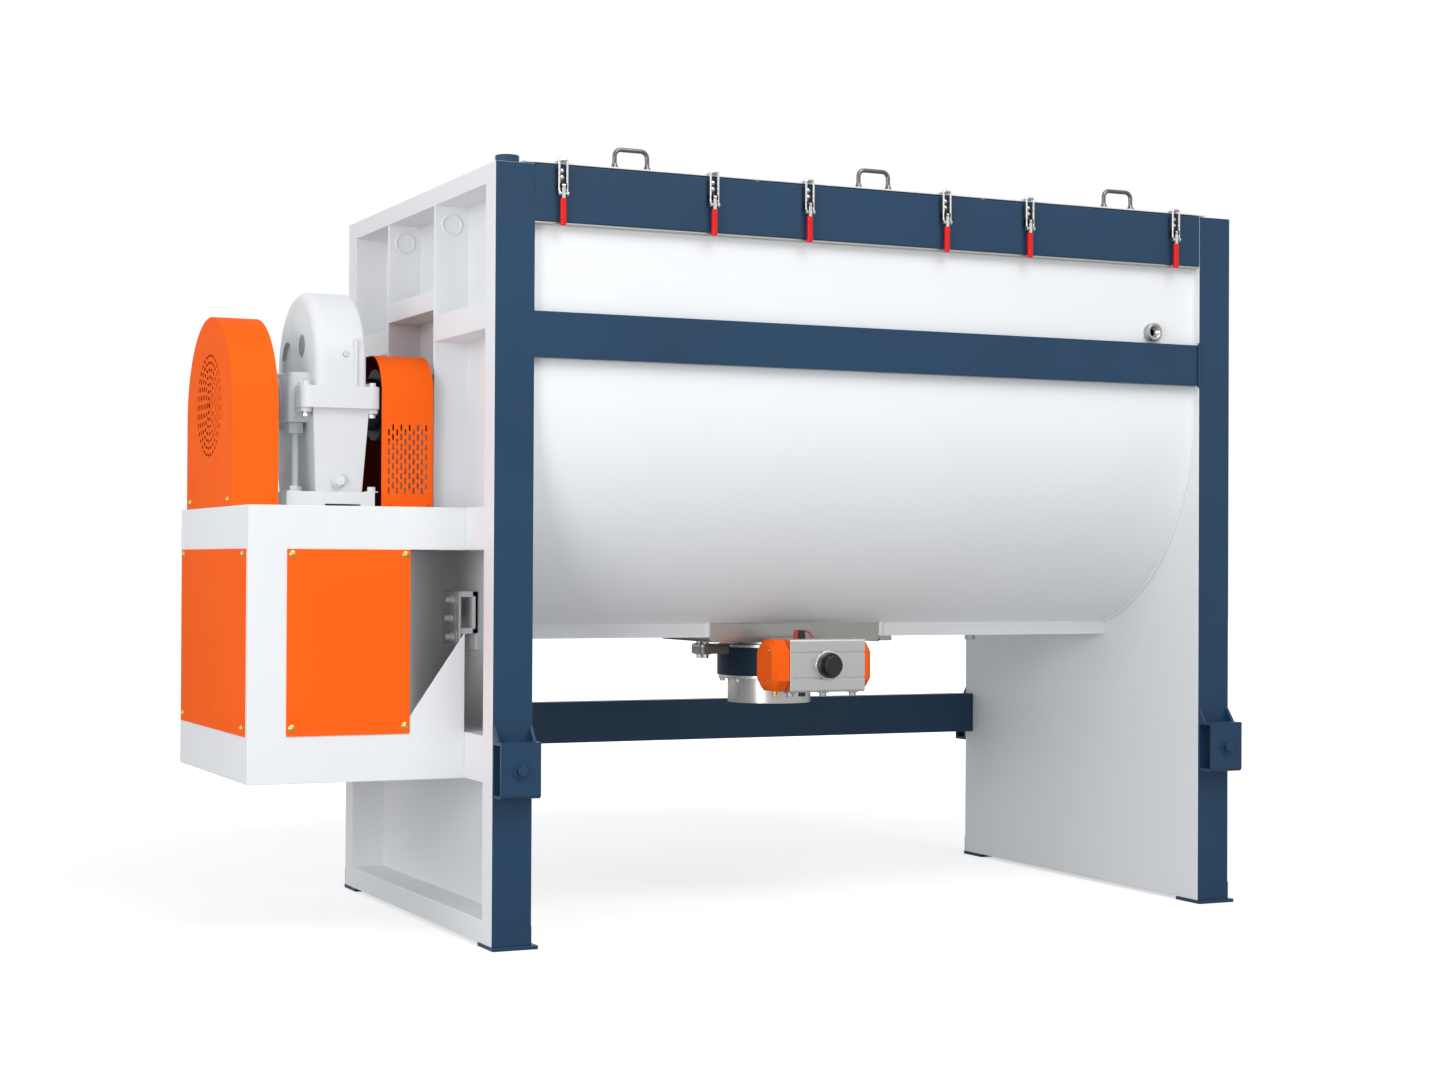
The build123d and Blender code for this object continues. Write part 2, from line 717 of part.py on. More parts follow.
with BuildPart() as drive_end_panel:
    end_panel_y = (box_y[0] + end_panel_margin, box_y[1] - end_panel_margin)
    block((box_x - panel_sheet, box_x), end_panel_y, window_z)
drive_end_panel.part.label = "drive_end_panel"
export_step(drive_end_panel.part, "parts/drive_end_panel.step")


# Guards: an arch over the belts and a folded tunnel over the coupling
guard_radius = driven_pulley_radius + guard_side_room
arch_z = shaft_height - guard_arch_drop
with BuildPart() as belt_guard:
    for inset, cut in ((0, Mode.ADD), (guard_sheet, Mode.SUBTRACT)):
        with BuildSketch(Plane.YZ.offset(box_x + inset)):
            with Locations((0, arch_z)):
                Circle(guard_radius - inset)
            with Locations((0, (deck_z + arch_z) / 2)):
                Rectangle(2 * (guard_radius - inset), arch_z - deck_z)
            with Locations((0, deck_z - guard_radius)):
                Rectangle(4 * guard_radius, 2 * guard_radius, mode=Mode.SUBTRACT)
        extrude(amount=guard_depth - 2 * inset, mode=cut)
    back = (box_x + guard_depth - guard_sheet, box_x + guard_depth)
    rod(input_shaft_radius + guard_sheet, back, 0, shaft_height, Mode.SUBTRACT)
    with BuildSketch(Plane.YZ.offset(box_x)):
        with Locations((0, shaft_height - guard_disc_drop)):
            Circle(guard_slot_width)
            for ring in range(1, guard_ring_count + 1):
                ring_radius = ring * guard_ring_step
                with PolarLocations(ring_radius, round(2 * pi * ring_radius / guard_slot_pitch)):
                    SlotOverall(guard_slot_length, guard_slot_width, rotation=90)
    extrude(amount=guard_sheet, mode=Mode.SUBTRACT)
belt_guard.part.label = "belt_guard"
export_step(belt_guard.part, "parts/belt_guard.step")

tunnel_x = x_left - coupling_guard_setback - coupling_guard_length
with BuildPart() as coupling_guard:
    tunnel_top = shaft_height + coupling_guard_rise
    for inset, cut in ((0, Mode.ADD), (guard_sheet, Mode.SUBTRACT)):
        with BuildSketch(Plane.YZ.offset(tunnel_x)) as tunnel:
            with Locations((0, (deck_z + tunnel_top - inset) / 2)):
                Rectangle(2 * (coupling_guard_half_width - inset), tunnel_top - inset - deck_z)
            fillet(tunnel.vertices().group_by(Axis.Y)[-1], radius=coupling_guard_bend - inset)
        extrude(amount=coupling_guard_length, mode=cut)
    with BuildSketch(Plane.XZ):
        for stagger in (-1, 1):
            vent_x = tunnel_x + coupling_guard_length / 2 + stagger * vent_pitch / 2
            vent_z = deck_z + vent_rise + stagger * vent_row_pitch / 4
            with Locations((vent_x, vent_z)):
                with GridLocations(2 * vent_pitch, vent_row_pitch, vent_columns, vent_rows):
                    SlotOverall(vent_slot_length, vent_slot_width, rotation=90)
    extrude(amount=2 * coupling_guard_half_width, mode=Mode.SUBTRACT)
coupling_guard.part.label = "coupling_guard"
export_step(coupling_guard.part, "parts/coupling_guard.step")

# Gear reducer casting, split level with the shaft: base and column below, arched cover above
flange_x = (x_left - reducer_setback - reducer_flange_length, x_left - reducer_setback)
body_end = flange_x[1] - reducer_body_setback
casting_x = (body_end - reducer_body_length, body_end)
input_end = casting_x[0] - input_boss_length
output_end = casting_x[1] + output_boss_length
input_bore = input_shaft_radius + running_clearance
output_bore = shaft_radius + running_clearance
bore_split = (casting_x[0] + casting_x[1]) / 2


def reducer_flange(z):
    """One half of the bolted joint, with round corners."""
    with BuildPart() as half:
        block(flange_x, (-reducer_flange_half_depth, reducer_flange_half_depth), z)
        fillet(half.edges().filter_by(Axis.Z), radius=reducer_corner)
    return half.part


def input_housing(z):
    """The squared bearing housing on the input side, with round corners."""
    with BuildPart() as housing:
        block((input_end, casting_x[0]), (-housing_half_depth, housing_half_depth), z)
        fillet(housing.faces().sort_by(Axis.X)[0].edges().filter_by(Axis.Z), radius=housing_corner)
    return housing.part


with BuildPart() as gearbox_base:
    foot_end = flange_x[1] - reducer_foot_setback
    foot_x = (foot_end - reducer_foot_length, foot_end)
    foot_y = (-reducer_foot_half_depth, reducer_foot_half_depth)
    foot_top = deck_z + reducer_foot_height
    split_low = shaft_height - reducer_flange_low
    column_mid = (casting_x[0] + casting_x[1]) / 2
    block(foot_x, foot_y, (deck_z, foot_top))
    with BuildSketch(Plane.XY.offset(foot_top)):
        with Locations((column_mid, 0)):
            Rectangle(reducer_column_length, 2 * reducer_column_half_depth)
    with BuildSketch(Plane.XY.offset(split_low)):
        with Locations((column_mid, 0)):
            Rectangle(reducer_column_length + reducer_flange_low, 2 * reducer_arch_radius)
    loft()
    add(reducer_flange((split_low, shaft_height)))
    add(input_housing((shaft_height - housing_drop, shaft_height)))
    rod(input_boss_radius, (input_end, casting_x[0] + input_boss_length), 0, shaft_height)
    rod(output_boss_radius, (casting_x[1] - output_boss_length, output_end), 0, shaft_height)
    gap_x = (column_mid - reducer_foot_gap_length / 2, column_mid + reducer_foot_gap_length / 2)
    block(gap_x, foot_y, (deck_z, deck_z + reducer_foot_gap_height), Mode.SUBTRACT)
    over = 2 * reducer_arch_radius
    block((input_end, output_end), (-over, over), (shaft_height, shaft_height + over), Mode.SUBTRACT)
    rod(input_bore, (input_end, bore_split), 0, shaft_height, Mode.SUBTRACT)
    rod(output_bore, (bore_split, flange_x[1]), 0, shaft_height, Mode.SUBTRACT)
gearbox_base.part.label = "gearbox_base"
export_step(gearbox_base.part, "parts/gearbox_base.step")

with BuildPart() as gearbox_cover:
    with BuildSketch(Plane.YZ.offset(casting_x[0])):
        with Locations((0, shaft_height + reducer_arch_rise)):
            Circle(reducer_arch_radius)
        with Locations((0, shaft_height + reducer_arch_rise / 2)):
            Rectangle(2 * reducer_arch_radius, reducer_arch_rise)
        with Locations((0, shaft_height - reducer_arch_radius)):
            Rectangle(4 * reducer_arch_radius, 2 * reducer_arch_radius, mode=Mode.SUBTRACT)
    extrude(amount=reducer_body_length)
    arch_faces = gearbox_cover.faces().filter_by(Axis.X).sort_by(Axis.X)
    fillet(arch_faces[0].edges().sort_by(Axis.Z)[1:], radius=reducer_crest_round)
    arch_faces = gearbox_cover.faces().filter_by(Axis.X).sort_by(Axis.X)
    fillet(arch_faces[-1].edges().sort_by(Axis.Z)[1:], radius=reducer_back_round)
    recess_low = shaft_height + reducer_flange_high + reducer_recess_low
    recess_mid = shaft_height + reducer_arch_rise + reducer_recess_radius / 2
    with BuildSketch(Plane.YZ.offset(casting_x[0])):
        with Locations((reducer_recess_y, recess_mid)):
            Circle(reducer_recess_radius)
        with Locations((reducer_recess_y, (recess_low + recess_mid) / 2)):
            Rectangle(2 * reducer_recess_radius, recess_mid - recess_low)
    extrude(amount=reducer_recess_depth, mode=Mode.SUBTRACT)
    add(reducer_flange((shaft_height, shaft_height + reducer_flange_high)))
    add(input_housing((shaft_height, shaft_height + housing_rise)))
    rod(input_boss_radius, (input_end, casting_x[0] + input_boss_length), 0, shaft_height)
    rod(output_boss_radius, (casting_x[1] - output_boss_length, output_end), 0, shaft_height)
    under = 2 * reducer_arch_radius
    block((input_end, output_end), (-under, under), (shaft_height - under, shaft_height), Mode.SUBTRACT)
    rod(input_bore, (input_end, bore_split), 0, shaft_height, Mode.SUBTRACT)
    rod(output_bore, (bore_split, flange_x[1]), 0, shaft_height, Mode.SUBTRACT)
    pocket = (casting_x[0], casting_x[0] + lifting_pocket_depth)
    rod(lifting_pocket_radius, pocket, lifting_pocket_y, shaft_height + lifting_pocket_rise, Mode.SUBTRACT)
gearbox_cover.part.label = "gearbox_cover"
export_step(gearbox_cover.part, "parts/gearbox_cover.step")

# Motor: finned barrel with end shields, feet and a terminal box, on a slide stand
motor_x = (x_left - motor_setback - motor_length, x_left - motor_setback)
stand_z = (box_z + drive_box_wall, motor_z - motor_foot_drop)
with BuildPart() as motor_body:
    rod(motor_radius, motor_x, 0, motor_z)
    boss_x = (motor_x[0] - motor_end_boss, motor_x[1] + motor_end_boss)
    rod(motor_radius - motor_fin_depth, boss_x, 0, motor_z)
    fins_x = (motor_x[0] + motor_shield, motor_x[1] - motor_fan_cover)
    with BuildSketch(Plane.YZ.offset(fins_x[0])):
        with Locations((0, motor_z)):
            with PolarLocations(motor_radius, motor_fin_count):
                Rectangle(2 * motor_fin_depth, motor_fin_width)
    extrude(amount=fins_x[1] - fins_x[0])
    for foot_side in (-1, 1):
        foot_y = (foot_side * motor_foot_gap / 2, foot_side * motor_radius)
        block(fins_x, foot_y, (stand_z[1], stand_z[1] + motor_foot_rise))
    box_x_run = (fins_x[0], fins_x[0] + terminal_box_length)
    box_half = terminal_box_width / 2
    block(box_x_run, (-box_half, box_half), (motor_z, motor_z + motor_radius + terminal_box_rise))
    seat = (boss_x[0], motor_x[0] + motor_shaft_seat)
    rod(motor_shaft_radius + running_clearance, seat, 0, motor_z, Mode.SUBTRACT)
motor_body.part.label = "motor_body"
export_step(motor_body.part, "parts/motor_body.step")

with BuildPart() as motor_mount:
    block(motor_x, (-motor_radius, motor_radius), stand_z)
    tunnel_y = motor_radius - stand_plate
    block(motor_x, (-tunnel_y, tunnel_y), (stand_z[0], stand_z[1] - stand_plate), Mode.SUBTRACT)
motor_mount.part.label = "motor_mount"
export_step(motor_mount.part, "parts/motor_mount.step")


# Belt drive: two grooved pulleys and a pair of belts
pulley_end = pulley_x + pulley_width
pulley_mid = pulley_x + pulley_width / 2
belt_middles = (pulley_mid - belt_spacing / 2, pulley_mid + belt_spacing / 2)
groove_half = belt_width / 2 + belt_side_room
groove_depth = belt_thickness - belt_proud + groove_room


def cut_grooves(radius, z):
    """Turn the belt grooves into the rim of the open pulley."""
    for middle in belt_middles:
        groove = (middle - groove_half, middle + groove_half)
        rod(radius, groove, 0, z, Mode.SUBTRACT)
        rod(radius - groove_depth, groove, 0, z)


with BuildPart() as driven_pulley:
    rod(driven_pulley_radius, (pulley_x, pulley_end), 0, shaft_height)
    cut_grooves(driven_pulley_radius, shaft_height)
    for face in ((pulley_x, pulley_mid - pulley_web / 2), (pulley_mid + pulley_web / 2, pulley_end)):
        rod(driven_pulley_radius - pulley_rim, face, 0, shaft_height, Mode.SUBTRACT)
        rod(pulley_hub_radius, face, 0, shaft_height)
    rod(input_shaft_radius, (pulley_x, bore_split - seat_gap), 0, shaft_height)
driven_pulley.part.label = "driven_pulley"
export_step(driven_pulley.part, "parts/driven_pulley.step")

with BuildPart() as motor_rotor:
    rod(motor_pulley_radius, (pulley_x, pulley_end), 0, motor_z)
    cut_grooves(motor_pulley_radius, motor_z)
    rod(motor_shaft_radius, (pulley_x, motor_x[0] + motor_shaft_seat - seat_gap), 0, motor_z)
motor_rotor.part.label = "motor_rotor"
export_step(motor_rotor.part, "parts/motor_rotor.step")


def belt_outline(grow):
    """Flat outline of a belt round both pulleys, grown from the pulley rims."""
    small = motor_pulley_radius + grow
    large = driven_pulley_radius + grow
    lean = asin((large - small) / belt_centres)
    side_y = cos(lean)
    side_z = sin(lean)
    with BuildSketch() as loop:
        with BuildLine():
            low_right = (small * side_y, motor_z - small * side_z)
            low_left = (-small * side_y, motor_z - small * side_z)
            high_right = (large * side_y, shaft_height - large * side_z)
            high_left = (-large * side_y, shaft_height - large * side_z)
            Line(low_right, high_right)
            ThreePointArc(high_right, (0, shaft_height + large), high_left)
            Line(high_left, low_left)
            ThreePointArc(low_left, (0, motor_z - small), low_right)
        make_face()
    return loop.sketch


belt_loop = belt_outline(belt_proud) - belt_outline(belt_proud - belt_thickness)
with BuildPart() as drive_belts:
    for middle in belt_middles:
        with BuildSketch(Plane.YZ.offset(middle - belt_width / 2)):
            add(belt_loop)
        extrude(amount=belt_width)
drive_belts.part.label = "drive_belts"
export_step(drive_belts.part, "parts/drive_belts.step")

# Bearings on the outside of the end plates and lip seals on the inside
with BuildPart() as shaft_bearings:
    for x_inner, outward in ((x_trough, -1), (x_trough_end, 1)):
        plate_face = x_inner + outward * end_plate
        flange = (plate_face, plate_face + outward * bearing_flange)
        half_side = bearing_side / 2
        block(flange, (-half_side, half_side), (shaft_height - half_side, shaft_height + half_side))
        rod(bearing_boss_radius, (plate_face, plate_face + outward * bearing_length), 0, shaft_height)
    fillet(shaft_bearings.edges().filter_by(Axis.X).filter_by(GeomType.LINE), radius=bearing_corner)
    rod(shaft_radius + running_clearance, (x_left, x_right), 0, shaft_height, Mode.SUBTRACT)
shaft_bearings.part.label = "shaft_bearings"
export_step(shaft_bearings.part, "parts/shaft_bearings.step")

with BuildPart() as shaft_seals:
    rod(seal_radius, (x_trough, x_trough + seal_length), 0, shaft_height)
    rod(seal_radius, (x_trough_end - seal_length, x_trough_end), 0, shaft_height)
    fillet(shaft_seals.edges().filter_by(GeomType.CIRCLE).sort_by(Axis.X)[1:-1], radius=seal_round)
    rod(shaft_radius + running_clearance, (x_left, x_right), 0, shaft_height, Mode.SUBTRACT)
shaft_seals.part.label = "shaft_seals"
export_step(shaft_seals.part, "parts/shaft_seals.step")

# Agitator shaft, bored across for the arms
coupling_mid = (output_end + x_left) / 2
shaft_start = coupling_mid + coupling_spider / 2
arm_places = [x_mid + step * ribbon_pitch / 2 for step in range(-2, 3)]
with BuildPart() as main_shaft:
    rod(shaft_radius, (shaft_start, x_right - shaft_end_inset), 0, shaft_height)
    for arm_x in arm_places:
        upright(
            arm_radius + arm_hole_clearance,
            arm_x,
            0,
            (shaft_height - shaft_radius, shaft_height + shaft_radius),
            Mode.SUBTRACT,
        )
main_shaft.part.label = "main_shaft"
export_step(main_shaft.part, "parts/main_shaft.step")


# Ribbons: one turn each way from the middle, the inner pair wound against the outer pair
def ribbon(radius, width, first_turn, left_hand):
    """Two mirrored helical bands that start over the middle arm."""
    middle_radius = radius - width / 2
    run = ribbon_pitch - 2 * ribbon_end_trim
    turn = 360 * ribbon_end_trim / ribbon_pitch
    start = -turn if left_hand else turn
    with BuildPart() as band:
        with BuildLine() as spiral:
            Helix(
                ribbon_pitch,
                run,
                middle_radius,
                center=(x_mid + ribbon_end_trim, 0, shaft_height),
                direction=(1, 0, 0),
                lefthand=left_hand,
            )
        radial = (spiral.line @ 0) - Vector(x_mid + ribbon_end_trim, 0, shaft_height)
        with BuildSketch(Plane(origin=spiral.line @ 0, x_dir=radial, z_dir=spiral.line % 0)):
            Rectangle(width, ribbon_thickness)
        sweep(is_frenet=True)
    spin = Axis((0, 0, shaft_height), (1, 0, 0))
    return band.part.rotate(spin, start + first_turn)


with BuildPart() as outer_ribbons:
    outer_half = ribbon(ribbon_radius, ribbon_width, 0, False)
    add(outer_half)
    mirror(outer_half, about=Plane.YZ.offset(x_mid))
outer_ribbons.part.label = "outer_ribbons"
export_step(outer_ribbons.part, "parts/outer_ribbons.step")

with BuildPart() as inner_ribbons:
    inner_half = ribbon(inner_ribbon_radius, inner_ribbon_width, 180, True)
    add(inner_half)
    mirror(inner_half, about=Plane.YZ.offset(x_mid))
inner_ribbons.part.label = "inner_ribbons"
export_step(inner_ribbons.part, "parts/inner_ribbons.step")

# Arms through the shaft: the long end carries the outer ribbon, the short end the inner one
long_arm = sqrt((ribbon_radius - ribbon_width) ** 2 - arm_radius ** 2) - weld_gap
short_arm = sqrt((inner_ribbon_radius - inner_ribbon_width) ** 2 - arm_radius ** 2) - weld_gap
with BuildPart() as ribbon_arms:
    for place, arm_x in enumerate(arm_places):
        up = long_arm if place % 2 == 0 else short_arm
        down = short_arm if place % 2 == 0 else long_arm
        upright(arm_radius, arm_x, 0, (shaft_height - down, shaft_height + up))
ribbon_arms.part.label = "ribbon_arms"
export_step(ribbon_arms.part, "parts/ribbon_arms.step")

# Reducer output shaft and the flexible coupling to the agitator
hub_face = coupling_mid - coupling_spider / 2
with BuildPart() as output_shaft:
    rod(shaft_radius, (bore_split + seat_gap, hub_face), 0, shaft_height)
output_shaft.part.label = "output_shaft"
export_step(output_shaft.part, "parts/output_shaft.step")

with BuildPart() as shaft_coupling:
    for outward in (-1, 1):
        face = coupling_mid + outward * coupling_spider / 2
        back = face + outward * coupling_flange
        rod(coupling_radius, (face, back), 0, shaft_height)
        rod(coupling_hub_radius, (back, back + outward * coupling_hub_length), 0, shaft_height)
    hub_ends = (hub_face - coupling_flange - coupling_hub_length, x_left)
    rod(shaft_radius + running_clearance, hub_ends, 0, shaft_height, Mode.SUBTRACT)
    rod(coupling_radius - spider_inset, (hub_face, shaft_start), 0, shaft_height)
shaft_coupling.part.label = "shaft_coupling"
export_step(shaft_coupling.part, "parts/shaft_coupling.step")

# Cross bars between the lids and a gasket round each opening
middle_lid_x = x_mid + middle_lid_offset
lid_edges = (
    x_trough - lid_lap,
    middle_lid_x - middle_lid_length / 2,
    middle_lid_x + middle_lid_length / 2,
    x_trough_end + lid_lap,
)
with BuildPart() as lid_dividers:
    for split_x in lid_edges[1:3]:
        bar_x = (split_x - divider_width / 2, split_x + divider_width / 2)
        block(bar_x, (-trough_radius, trough_radius), (rim_z - divider_depth, rim_z))
lid_dividers.part.label = "lid_dividers"
export_step(lid_dividers.part, "parts/lid_dividers.step")


def lid_span(index):
    """The two ends of one lid along the trough."""
    left = lid_edges[index] + (lid_gap / 2 if index > 0 else 0)
    right = lid_edges[index + 1] - (lid_gap / 2 if index < 2 else 0)
    return left, right


with BuildPart() as lid_gaskets:
    for index in range(3):
        left, right = lid_span(index)
        ring_x = (left + gasket_inset, right - gasket_inset)
        ring_y = trough_radius + trough_wall + gasket_width
        block(ring_x, (-ring_y, ring_y), (rim_z, lid_z))
        inner_x = (ring_x[0] + gasket_width, ring_x[1] - gasket_width)
        inner_y = trough_radius + trough_wall
        block(inner_x, (-inner_y, inner_y), (rim_z, lid_z), Mode.SUBTRACT)
lid_gaskets.part.label = "lid_gaskets"
export_step(lid_gaskets.part, "parts/lid_gaskets.step")

# Lids: flat sheets with stiffeners below, hinge knuckles behind and clamp keepers in front
lid_y = (-half_depth + lid_front_inset, half_depth - lid_rear_inset)
keeper_front = clamp_y + bail_rod_radius + keeper_room


def hinge_places(index):
    """Middles of the two hinges of one lid."""
    left, right = lid_span(index)
    return ((left + right) / 2 - hinge_spread, (left + right) / 2 + hinge_spread)


def clamp_middles(index):
    """Middles of the two clamps of one lid."""
    from_left, from_right = clamp_end_insets[index]
    return lid_edges[index] + from_left, lid_edges[index + 1] - from_right


for index in range(3):
    left, right = lid_span(index)
    with BuildPart() as lid:
        block((left, right), lid_y, (lid_z, lid_top))
        for side in (-1, 1):
            bar_y = side * trough_radius / 2
            bar_x = (left + stiffener_inset, right - stiffener_inset)
            bar = (bar_y - stiffener_width / 2, bar_y + stiffener_width / 2)
            block(bar_x, bar, (lid_z - stiffener_depth, lid_z))
        for hinge_x in hinge_places(index):
            knuckle = (hinge_x - knuckle_half_width, hinge_x + knuckle_half_width)
            block(knuckle, (lid_y[1] - strap_length, hinge_y), (lid_top, lid_top + strap_thickness))
            rod(knuckle_radius, knuckle, hinge_y, hinge_z)
            rod(hinge_pin_radius + running_clearance, knuckle, hinge_y, hinge_z, Mode.SUBTRACT)
        for clamp_x in clamp_middles(index):
            keeper_x = (clamp_x - keeper_width / 2, clamp_x + keeper_width / 2)
            block(keeper_x, (keeper_front, keeper_front + keeper_length), (lid_top, lid_top + keeper_sheet))
            block(keeper_x, (keeper_front, keeper_front + keeper_sheet), (lid_top, lid_top + keeper_lip))
    lid.part.label = f"lid_{index + 1}"
    export_step(lid.part, f"parts/lid_{index + 1}.step")

# Hinge brackets on the rear rim, each with its pin through two ears
with BuildPart() as hinge_brackets:
    for index in range(3):
        for hinge_x in hinge_places(index):
            reach = knuckle_half_width + hinge_ear_gap + hinge_ear
            ear_y = (hinge_y - knuckle_radius, hinge_y + knuckle_radius)
            block((hinge_x - reach, hinge_x + reach), ear_y, (rim_z, rim_z + hinge_base))
            for side in (-1, 1):
                ear_x = (hinge_x + side * (reach - hinge_ear), hinge_x + side * reach)
                block(ear_x, ear_y, (rim_z, hinge_z))
                rod(knuckle_radius, ear_x, hinge_y, hinge_z)
            rod(hinge_pin_radius, (hinge_x - reach, hinge_x + reach), hinge_y, hinge_z)
hinge_brackets.part.label = "hinge_brackets"
export_step(hinge_brackets.part, "parts/hinge_brackets.step")

# Bow handles bolted on the lids
for index, handle_offset in enumerate(handle_offsets):
    handle_x = (lid_edges[index] + lid_edges[index + 1]) / 2 + handle_offset
    handle_y = -half_depth + handle_setback
    plate_top = lid_top + handle_plate_thickness
    rod_top = lid_top + handle_height - handle_rod_radius
    with BuildPart() as handle:
        plate_x = (handle_x - handle_plate_length / 2, handle_x + handle_plate_length / 2)
        plate_y = (handle_y - handle_plate_width / 2, handle_y + handle_plate_width / 2)
        block(plate_x, plate_y, (lid_top, plate_top))
        with BuildLine() as bow:
            FilletPolyline(
                (handle_x - handle_span / 2, handle_y, plate_top),
                (handle_x - handle_span / 2, handle_y, rod_top),
                (handle_x + handle_span / 2, handle_y, rod_top),
                (handle_x + handle_span / 2, handle_y, plate_top),
                radius=handle_bend,
            )
        with BuildSketch(Plane(origin=bow.line @ 0, z_dir=bow.line % 0)):
            Circle(handle_rod_radius)
        sweep()
    handle.part.label = f"lid_handle_{index + 1}"
    export_step(handle.part, f"parts/lid_handle_{index + 1}.step")

# Clamp bases on the top beam: a plate with two ears and the lever pin
lever_half = clamp_lever_width / 2
ear_in = lever_half + clamp_ear_room
ear_out = ear_in + clamp_ear
clamp_line = [clamp_x for index in range(3) for clamp_x in clamp_middles(index)]
with BuildPart() as clamp_bases:
    for clamp_x in clamp_line:
        base_x = (clamp_x - clamp_base_width / 2, clamp_x + clamp_base_width / 2)
        base_top = rim_z - clamp_base_drop
        base_front = -half_depth - clamp_base_sheet
        block(base_x, (-half_depth, base_front), (base_top - clamp_base_height, base_top))
        for side in (-1, 1):
            ear_x = (clamp_x + side * ear_in, clamp_x + side * ear_out)
            ear_z = (lever_pin_z - clamp_ear_height / 2, lever_pin_z + clamp_ear_height / 2)
            block(ear_x, (base_front, clamp_y), ear_z)
            rod(clamp_ear_round, ear_x, clamp_y, lever_pin_z)
        rod(clamp_pin_radius, (clamp_x - ear_out, clamp_x + ear_out), clamp_y, lever_pin_z)
clamp_bases.part.label = "clamp_bases"
export_step(clamp_bases.part, "parts/clamp_bases.step")

# Clamp levers with their dipped grips, and the wire bails that hook over the lids
grip_z = (bail_pin_z - clamp_grip_start - clamp_grip_length, bail_pin_z - clamp_grip_start)
eye_x = (bail_half_span - bail_eye_width / 2, bail_half_span + bail_eye_width / 2)
leg_z = bail_pin_z + (clamp_pin_radius + bail_eye_radius) / 2
for index, clamp_x in enumerate(clamp_line):
    with BuildPart() as lever:
        bar_y = (clamp_y - clamp_lever_thickness / 2, clamp_y + clamp_lever_thickness / 2)
        bar_x = (clamp_x - lever_half, clamp_x + lever_half)
        block(bar_x, bar_y, (grip_z[1], lever_pin_z))
        rod(clamp_lever_eye, bar_x, clamp_y, lever_pin_z)
        rod(clamp_pin_radius + running_clearance, bar_x, clamp_y, lever_pin_z, Mode.SUBTRACT)
        with BuildSketch(Plane.XY.offset(grip_z[0])):
            with Locations((clamp_x, clamp_y)):
                RectangleRounded(clamp_grip_width, clamp_grip_depth, clamp_grip_round)
        extrude(amount=clamp_grip_length)
        fillet(lever.faces().sort_by(Axis.Z)[0].edges(), radius=clamp_grip_end)
        rod(clamp_pin_radius, (clamp_x - eye_x[1], clamp_x + eye_x[1]), clamp_y, bail_pin_z)
    lever.part.label = f"clamp_lever_{index + 1}"
    export_step(lever.part, f"parts/clamp_lever_{index + 1}.step")

    with BuildPart() as bail:
        with BuildLine() as loop:
            FilletPolyline(
                (clamp_x - bail_half_span, clamp_y, leg_z),
                (clamp_x - bail_half_span, clamp_y, bail_top_z),
                (clamp_x + bail_half_span, clamp_y, bail_top_z),
                (clamp_x + bail_half_span, clamp_y, leg_z),
                radius=bail_bend,
            )
        with BuildSketch(Plane(origin=loop.line @ 0, z_dir=loop.line % 0)):
            Circle(bail_rod_radius)
        sweep()
        for side in (-1, 1):
            eye = (clamp_x + side * eye_x[0], clamp_x + side * eye_x[1])
            rod(bail_eye_radius, eye, clamp_y, bail_pin_z)
            rod(clamp_pin_radius + running_clearance, eye, clamp_y, bail_pin_z, Mode.SUBTRACT)
    bail.part.label = f"clamp_bail_{index + 1}"
    export_step(bail.part, f"parts/clamp_bail_{index + 1}.step")
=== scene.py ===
# %% [markdown]
# # Dressing a ribbon blender
#
# The machine comes in as a imported model: every plate, shaft and clamp already has its real
# size and its real place. This lesson gives it its looks. Each step first says what the
# piece or the finish is on the real machine, then makes it.
#
# We load the model once and never move a part of it.

# %% Load the machine
import json
from math import asin, cos, pi, radians, sin, sqrt, tau

import bmesh
import bpy
from mathutils import Matrix, Vector

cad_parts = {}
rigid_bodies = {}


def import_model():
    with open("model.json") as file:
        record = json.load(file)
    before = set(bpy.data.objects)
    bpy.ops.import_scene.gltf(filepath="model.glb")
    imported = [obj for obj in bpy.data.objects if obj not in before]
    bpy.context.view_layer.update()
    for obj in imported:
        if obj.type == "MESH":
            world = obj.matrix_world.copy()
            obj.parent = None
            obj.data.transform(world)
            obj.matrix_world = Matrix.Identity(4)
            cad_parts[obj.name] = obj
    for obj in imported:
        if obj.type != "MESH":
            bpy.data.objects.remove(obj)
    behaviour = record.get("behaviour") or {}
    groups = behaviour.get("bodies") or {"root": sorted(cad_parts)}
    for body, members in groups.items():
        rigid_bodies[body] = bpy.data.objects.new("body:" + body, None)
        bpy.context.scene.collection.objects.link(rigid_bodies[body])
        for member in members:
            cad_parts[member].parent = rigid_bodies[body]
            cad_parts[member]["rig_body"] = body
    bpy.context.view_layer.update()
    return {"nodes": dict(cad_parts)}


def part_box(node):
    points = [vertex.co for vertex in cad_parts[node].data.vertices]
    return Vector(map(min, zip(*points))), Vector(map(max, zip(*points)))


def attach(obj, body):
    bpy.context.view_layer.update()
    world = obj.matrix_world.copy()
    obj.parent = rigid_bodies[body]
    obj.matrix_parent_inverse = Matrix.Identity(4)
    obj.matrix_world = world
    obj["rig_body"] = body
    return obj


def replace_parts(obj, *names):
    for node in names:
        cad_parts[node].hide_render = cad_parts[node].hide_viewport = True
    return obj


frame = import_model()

scene = bpy.context.scene
nodes = frame["nodes"]

# %% [markdown]
# ## The camera
#
# The picture was taken from the drive side, from about waist height, with a long lens. The
# place, the three angles and the focal length came from matching the straight edges of the
# frame. A camera in Blender looks along its own -Z, so the rotation is built from where it
# looks. A tracking constraint could aim it too, but it would lose the slight roll.

